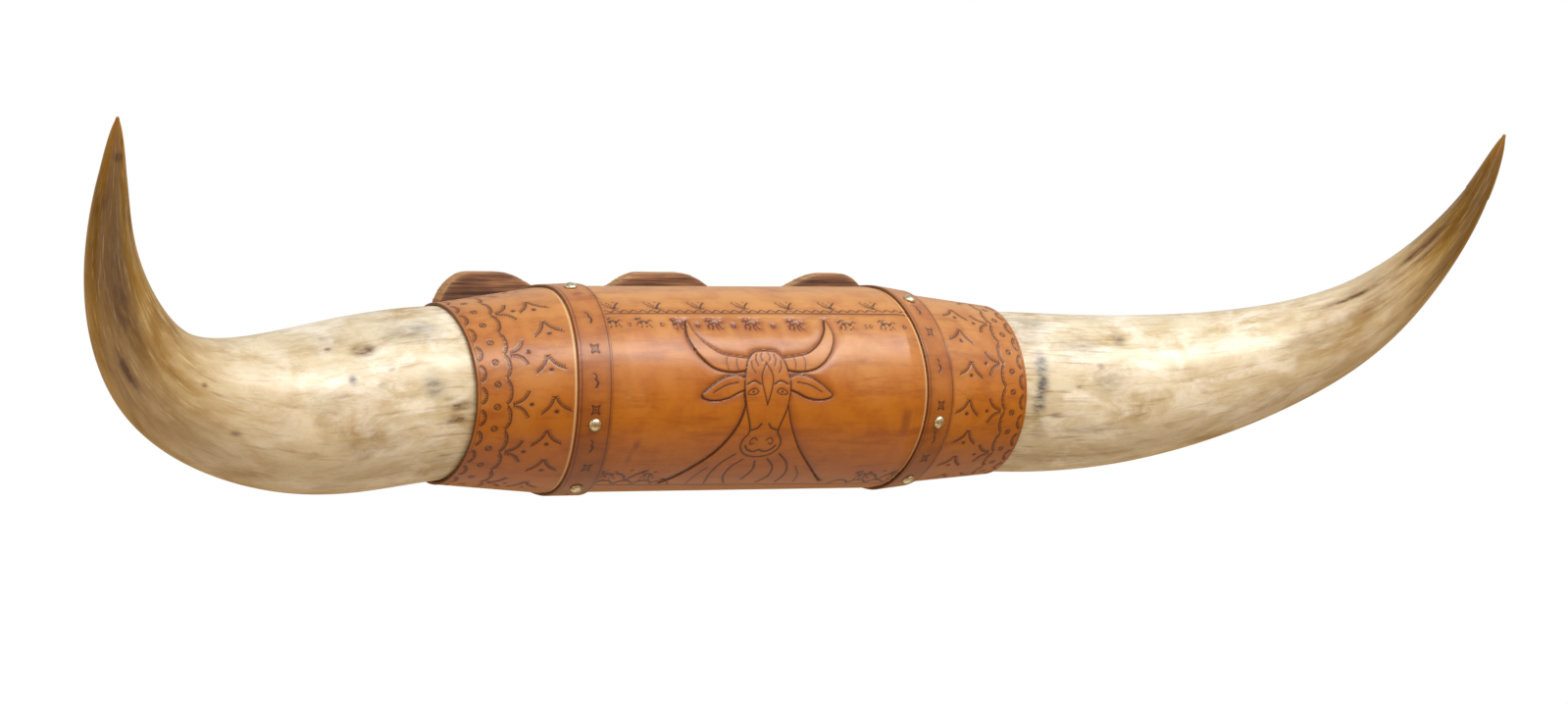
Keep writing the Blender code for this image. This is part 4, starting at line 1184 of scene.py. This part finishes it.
# The first three colours are painted shading, darkest at the bottom of the roll and lightest at the
# top; the fourth darkens the ground by the cuts, partly dyed, partly painted shade.
amber_leather = tanned_leather(
    "amber_tooling_leather", "#AC620C", "#B0660C", "#C08648", "#8A440A", 1100.0)
FIGURE_X = -5.0
FIGURE_CUT = (0.62, 0.5)
FIGURE_REACH = 68.0
FIGURE_LOW = -80.0
FIGURE_HIGH = 63.0
BEATEN_DEPTH = 0.0013
HEAD = [(3.5, 34), (9, 33), (13.5, 28.5), (16.5, 21), (18.5, 12), (18.5, 2),
        (16, -10), (12.4, -21), (11.8, -27), (15.4, -32.5), (15.8, -39),
        (11, -45), (3.5, -47.5)]
HORN_UNDER = [(17.5, 19), (29, 18), (43, 21.5), (54, 32), (59.5, 46), (56.5, 60)]
HORN_OVER = [(56.5, 60), (53, 50), (46, 40), (36, 32.5), (25, 30), (13.8, 28.5)]
EAR = [(18.6, 14), (26, 16), (37, 13), (46.5, 7), (53, 0.5), (44, -2.5),
       (33, -1), (25, 2.5), (18.6, 5)]
NECK = [(17, -6), (22, -22), (33, -41), (49, -60), (66, -80.5)]
FACE_LINES = [
    stroke([(7.5, 3.4), (10.5, 6), (14, 5), (16.2, 2.4), (12.4, 1.4)], 0.45, 0.4, True),
    dot(11.8, 3.7, 0.8),
    stroke([(5.6, 9), (10.8, 11.4), (16.6, 9)]),
    stroke([(3.6, -33), (6.4, -31), (9.2, -33.2), (8.4, -36.4), (6, -35.4)], 0.5, 0.4),
    stroke([(0, -41.2), (4.4, -42.8), (9.6, -41), (12.2, -37.6)]),
    stroke([(11.4, -25), (6, -23.4), (3, -20)]),
    stroke([(0, 24.5), (4.6, 13), (0, -6)], 0.5, 0.4),
    stroke([(2.4, 32), (3.6, 28.6), (2.6, 25.4)], 0.45, 0.36),
    stroke([(7, 31), (8, 26.4), (6.6, 22)], 0.45, 0.36),
    stroke([(12, 25.4), (11.6, 21), (9.4, 17)], 0.45, 0.36),
    stroke([(24, 10.4), (34, 8.4), (44, 3.4)], 0.5, 0.4),
    stroke([(22.5, 29.4), (24, 23.6), (22.8, 18.6)], 0.4, 0.3),
    stroke([(30, 31), (32, 25), (31, 18.8)], 0.4, 0.3),
    stroke([(18, -45), (27, -54), (31, -66), (29, -80.5)]),
    stroke([(10, -50), (17, -58), (18.5, -69), (13, -80.5)]),
    stroke([(36, -58), (42, -68), (44, -80.5)], 0.5, 0.36),
]
panel_strokes = [(figure_outline(HEAD, FIGURE_X), *FIGURE_CUT),
                 stroke([(-4.6, -52.0), (-3.0, -62.0), (-6.4, -74.0)])]
loops = [panel_strokes[0][0]]
for mirror in (-1.0, 1.0):
    for half in (HORN_UNDER + HORN_OVER[1:], EAR, NECK):
        line = curve_through(half) * (mirror, 1.0) + (FIGURE_X, 0.0)
        panel_strokes.append((line, *FIGURE_CUT))
        loops.append(line)
    for line, half_width, depth in FACE_LINES:
        panel_strokes.append((line * (mirror, 1.0) + (FIGURE_X, 0.0), half_width, depth))
# The two sides of the neck, which are open lines, close into one loop.
loops[-1] = np.vstack([loops[3], loops[-1][::-1]])
del loops[3]
BORDER_END = 127.0
panel_strokes += [
    stroke([(-BORDER_END, 51.7 * DEGREE), (0.0, 51.7 * DEGREE), (BORDER_END, 50.8 * DEGREE)],
           0.55, 0.4),
    stroke([(-BORDER_END, -62.8 * DEGREE), (0.0, -65.5 * DEGREE), (BORDER_END, -67.5 * DEGREE)],
           0.6, 0.42),
]
panel_stamps = [
    ("plant", x, 55.2 * DEGREE, 0.0, 1.0, 1.15) for x in (-114, -80, -45, -9, 27, 62, 97)]
panel_stamps += [
    ("wave", x, 52.8 * DEGREE, 0.0, 1.0, 1.2) for x in np.arange(-122.0, 124.0, 7.4)]
panel_stamps += [
    ("pony", x, 44.8 * DEGREE - 0.012 * (x + 120), 4.0 * (x % 3) - 4.0, 1.15, 1.3)
    for x in (-120, -96, -68, -39, -9, 27, 69, 102)]
panel_stamps += [
    ("blossom", x, 43.6 * DEGREE - 0.012 * (x + 120), 0.0, 1.0, 1.2)
    for x in (-108, -82, -53, -24, 8, 84, 88, 116)]
for x in (-117.0, -101.0, -85.0, -71.0, 78.0, 93.0, 108.0, 122.0):
    low = -60.6 * DEGREE - 0.024 * (x + BORDER_END)
    panel_stamps.append(("bank", x, low + 2.0, 0.0, 1.0, 2.0))
    if x in (-101.0, 108.0):
        panel_stamps.append(("gull", x, low + 4.6, 0.0, 1.15, 2.2))
    if x in (-117.0, -85.0, 93.0, 122.0):
        panel_stamps.append(("pony", x, low + 12.0, 8.0, 1.15, 2.0))
PANEL_FINE = 0.00070
PANEL_COARSE = 0.0013
PANEL_EDGE_STEP = 0.0006
PANEL_HALF = 0.1417
panel_across = np.concatenate([
    steps_between(-PANEL_HALF, -0.071, PANEL_COARSE)[:-1],
    steps_between(-0.071, 0.061, PANEL_FINE),
    steps_between(0.061, 0.122, PANEL_COARSE)[1:],
    steps_between(0.122, PANEL_HALF, PANEL_EDGE_STEP)[1:],
])
panel = new_piece("centre_panel_tooled", sheet_mesh(
    "centre_panel_tooled", beside_strap(-1.0, GAP), beside_strap(1.0, -GAP), panel_across,
    turns_round(-76.0, 72.0, 0.66, 3.0, 180.0), 0.0, LEATHER))
laid = read_laid(panel.data)
within = np.zeros(len(laid), dtype=bool)
for loop in loops:
    within |= inside_loop(laid, loop)
x, y = laid.T
near_figure = (np.abs(x - FIGURE_X) < FIGURE_REACH) & (y > FIGURE_LOW) & (y < FIGURE_HIGH)
add_values(panel.data, "ground", np.where(near_figure & ~within, 1.0, 0.0))
# A run drip on the left and a rubbed patch on the right.
drip = np.exp(-((x + 105.0) / 2.6) ** 2 - ((y + 36.0) / 4.2) ** 2)
drip += 0.6 * np.exp(-((x + 108.0) / 1.9) ** 2 - ((y + 48.0) / 7.5) ** 2)
patch = 0.6 * np.exp(-((x - 111.0) / 4.0) ** 4 - ((y + 19.0) / 9.0) ** 4)
add_values(panel.data, "stain", 0.85 * np.minimum(drip, 1.0) + patch)
# Painted highlight: a pale line just left of the right-hand strap.
add_values(panel.data, "undyed", strap_shadow(laid, 1.0))
tool_leather(panel, panel_strokes, panel_stamps, amber_leather, BEATEN_DEPTH)
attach(panel, "root")
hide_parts("centre_panel")


# Cuffs: a tapered sheet of the same leather round the foot of each horn, stamped with two rows
# of toothed crescents, seeds between them, flares and tents.
CUFF_WIDTH = 0.084
CUFF_GRID = 0.00062
CUFF_EDGE_BOW = {"left": 0.004, "right": -0.002}
CUFF_SHIFT = {"left": (0.0, 0.0), "right": (0.8, -6.8)}
CREASE_X = 223.0
CUFF_ROWS = {"crescent": 219.6, "seed": 210.8, "scallop": 201.8, "flare": 199.6, "tent": 170.0}
CRESCENT_STEP = 13.7
SCALLOP_STEP = 15.6
TENT_DEGREES = (100.0, 68.4, 48.8, 25.6, 1.7, -18.4, -38.1, -60.2, -90.0)


def cuff_stamp(kind, sign, off, angle, spin=0.0):
    """Row for a stamp on a cuff, moved off its kind's place along the roll."""
    return kind, sign * (CUFF_ROWS[kind] + off), angle * DEGREE, spin, -sign, 1.0


for side, sign in SIDES.items():
    def outer(angle, sign=sign, bow=CUFF_EDGE_BOW[side]):
        return sign * (ROLL_BREAKS[2] + bow * np.sin(angle) ** 2)

    seam = beside_strap(sign, sign * GAP)
    edges = (outer, seam) if side == "left" else (seam, outer)
    cuff = new_piece("cuff_" + side + "_tooled", sheet_mesh(
        "cuff_" + side + "_tooled", *edges, steps_between(0.0, CUFF_WIDTH, CUFF_GRID),
        turns_round(-98.0, 98.0, 0.55, 3.0, 180.0), 0.0, LEATHER))
    if side == "left":
        # Painted highlight: a pale line just left of the left-hand strap.
        add_values(cuff.data, "undyed", strap_shadow(read_laid(cuff.data), -1.0))
    out, round_by = CUFF_SHIFT[side]
    stamps = []
    for index in range(-9, 10):
        angle = 3.0 + CRESCENT_STEP * index + round_by
        bow = 1000.0 * CUFF_EDGE_BOW[side] * math.sin(math.radians(angle)) ** 2
        stamps.append(cuff_stamp("crescent", sign, bow, angle))
        stamps.append(cuff_stamp("seed", sign, out + bow, angle + 6.8))
    for index in range(-8, 8):
        angle = -2.7 + SCALLOP_STEP * (index + 0.5) + round_by
        stamps.append(cuff_stamp("scallop", sign, out, angle))
    for index in range(-4, 5):
        angle = -2.7 + 2.0 * SCALLOP_STEP * index + round_by
        stamps.append(cuff_stamp("flare", sign, out, angle, 3.0 * (index % 3)))
    for index, angle in enumerate(TENT_DEGREES):
        stamps.append(cuff_stamp("tent", sign, 3.5 * (index % 2), angle + 0.6 * round_by))
    turn = np.radians(np.linspace(-150.0, 150.0, 500))
    bowed = CREASE_X + 1000.0 * CUFF_EDGE_BOW[side] * np.sin(turn) ** 2
    edge_line = (np.stack([sign * bowed, turn * 1000.0 * LAID_RADIUS], axis=1), 0.4, 0.2)
    tool_leather(cuff, [edge_line], stamps, amber_leather)
    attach(cuff, "root")
    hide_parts("cuff_" + side)


# Straps: bands of redder bridle leather an inch wide, creased along both edges and stamped with
# stars and commas, over the joints between panel and cuffs.
STRAP_THICK = 0.0018
STRAP_GAP = 0.0005
STRAP_GRID = 0.0005
CREASE_OFF = 10.6
STRAP_STAMPS = {
    "left": (("dash", 69.5), ("comma", 48.0), ("star", 27.6), ("comma", 10.0), ("star", -6.0),
             ("comma", -26.5), ("star", -41.8), ("comma", -76.0)),
    "right": (("comma", 56.0), ("star", 38.7), ("comma", 17.8), ("star", -5.5), ("comma", -24.5),
              ("star", -39.6), ("comma", -76.0)),
}
# The first three colours are painted shading, darkest at the bottom of the roll and lightest at the
# top; the fourth darkens the ground by the cuts, partly dyed, partly painted shade.
bridle_leather = tanned_leather(
    "bridle_strap_leather", "#92500C", "#A45E14", "#B6763A", "#6E3008", 1300.0)
for side, sign in SIDES.items():
    strap = new_piece("strap_" + side + "_stamped", sheet_mesh(
        "strap_" + side + "_stamped", beside_strap(sign, -0.5 * STRAP_WIDTH),
        beside_strap(sign, 0.5 * STRAP_WIDTH), steps_between(0.0, STRAP_WIDTH, STRAP_GRID),
        turns_round(-98.0, 98.0, 0.5, 3.0, 150.0), STRAP_GAP + STRAP_THICK, STRAP_THICK))
    turn = np.radians(np.linspace(-149.0, 149.0, 500))
    middle = 1000.0 * sign * strap_centre(turn)
    creases = [(np.stack([middle + shift, turn * 1000.0 * LAID_RADIUS], axis=1), 0.45, 0.25)
               for shift in (-CREASE_OFF, CREASE_OFF)]
    stamps = [(kind, 1000.0 * sign * strap_centre(math.radians(angle)), angle * DEGREE, 0.0, 1.0, 1.0)
              for kind, angle in STRAP_STAMPS[side]]
    tool_leather(strap, creases, stamps, bridle_leather)
    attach(strap, "root")
    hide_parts("strap_" + side)
for pattern in list(stamp_patterns.objects):
    bpy.data.objects.remove(pattern, do_unlink=True)
bpy.data.collections.remove(stamp_patterns)


# Nails: nickel-plated domed upholstery nails, three on each strap.
NAIL_RADIUS = 0.00475
NAIL_HEIGHT = 0.0030
NAIL_SHANK = 0.0009
NAIL_LENGTH = 0.014
NAIL_DEGREES = {"left": (80.0, -14.0, -62.0), "right": (66.0, -15.0, -60.0)}


def domed_nail():
    """Nail with its head's underside at the origin, pointing down -Z."""
    dome = [(NAIL_RADIUS * math.sin(turn), NAIL_HEIGHT * math.cos(turn))
            for turn in np.linspace(0.0, 0.5 * math.pi, 18)]
    rim = [(NAIL_RADIUS - 0.0002, -0.00005), (NAIL_SHANK + 0.0005, 0.0), (NAIL_SHANK, -0.0002)]
    point = [(NAIL_SHANK, -0.8 * NAIL_LENGTH), (0.0, -NAIL_LENGTH)]
    return turned_mesh("domed_nail", dome + rim + point, 48)


nickel = plated_metal("worn_nickel_plate", "#E9DFC6", "#8C7D61", "#C9BB9C", (0.22, 0.42))
nail_places = []
nail_directions = []
for side, sign in SIDES.items():
    for degrees in NAIL_DEGREES[side]:
        angle = math.radians(degrees)
        x = sign * float(strap_centre(angle))
        proud = GAP + STRAP_GAP + STRAP_THICK
        spots = roll_points(np.array([x, x + 0.001, x]),
                            np.array([angle, angle, angle + 0.001]), proud)
        normal = np.cross(spots[1] - spots[0], spots[2] - spots[0])
        outward = np.array([0.0, -math.cos(angle), math.sin(angle)])
        nail_places.append(spots[0])
        nail_directions.append(normal / np.linalg.norm(normal) * np.sign(normal @ outward))
nails = fasten("strap_nails", domed_nail(), nail_places, nail_directions, nickel, 8)
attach(nails, "root")
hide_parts(*["nail_" + side + "_" + place for side in SIDES
                     for place in ("top", "front", "bottom")])
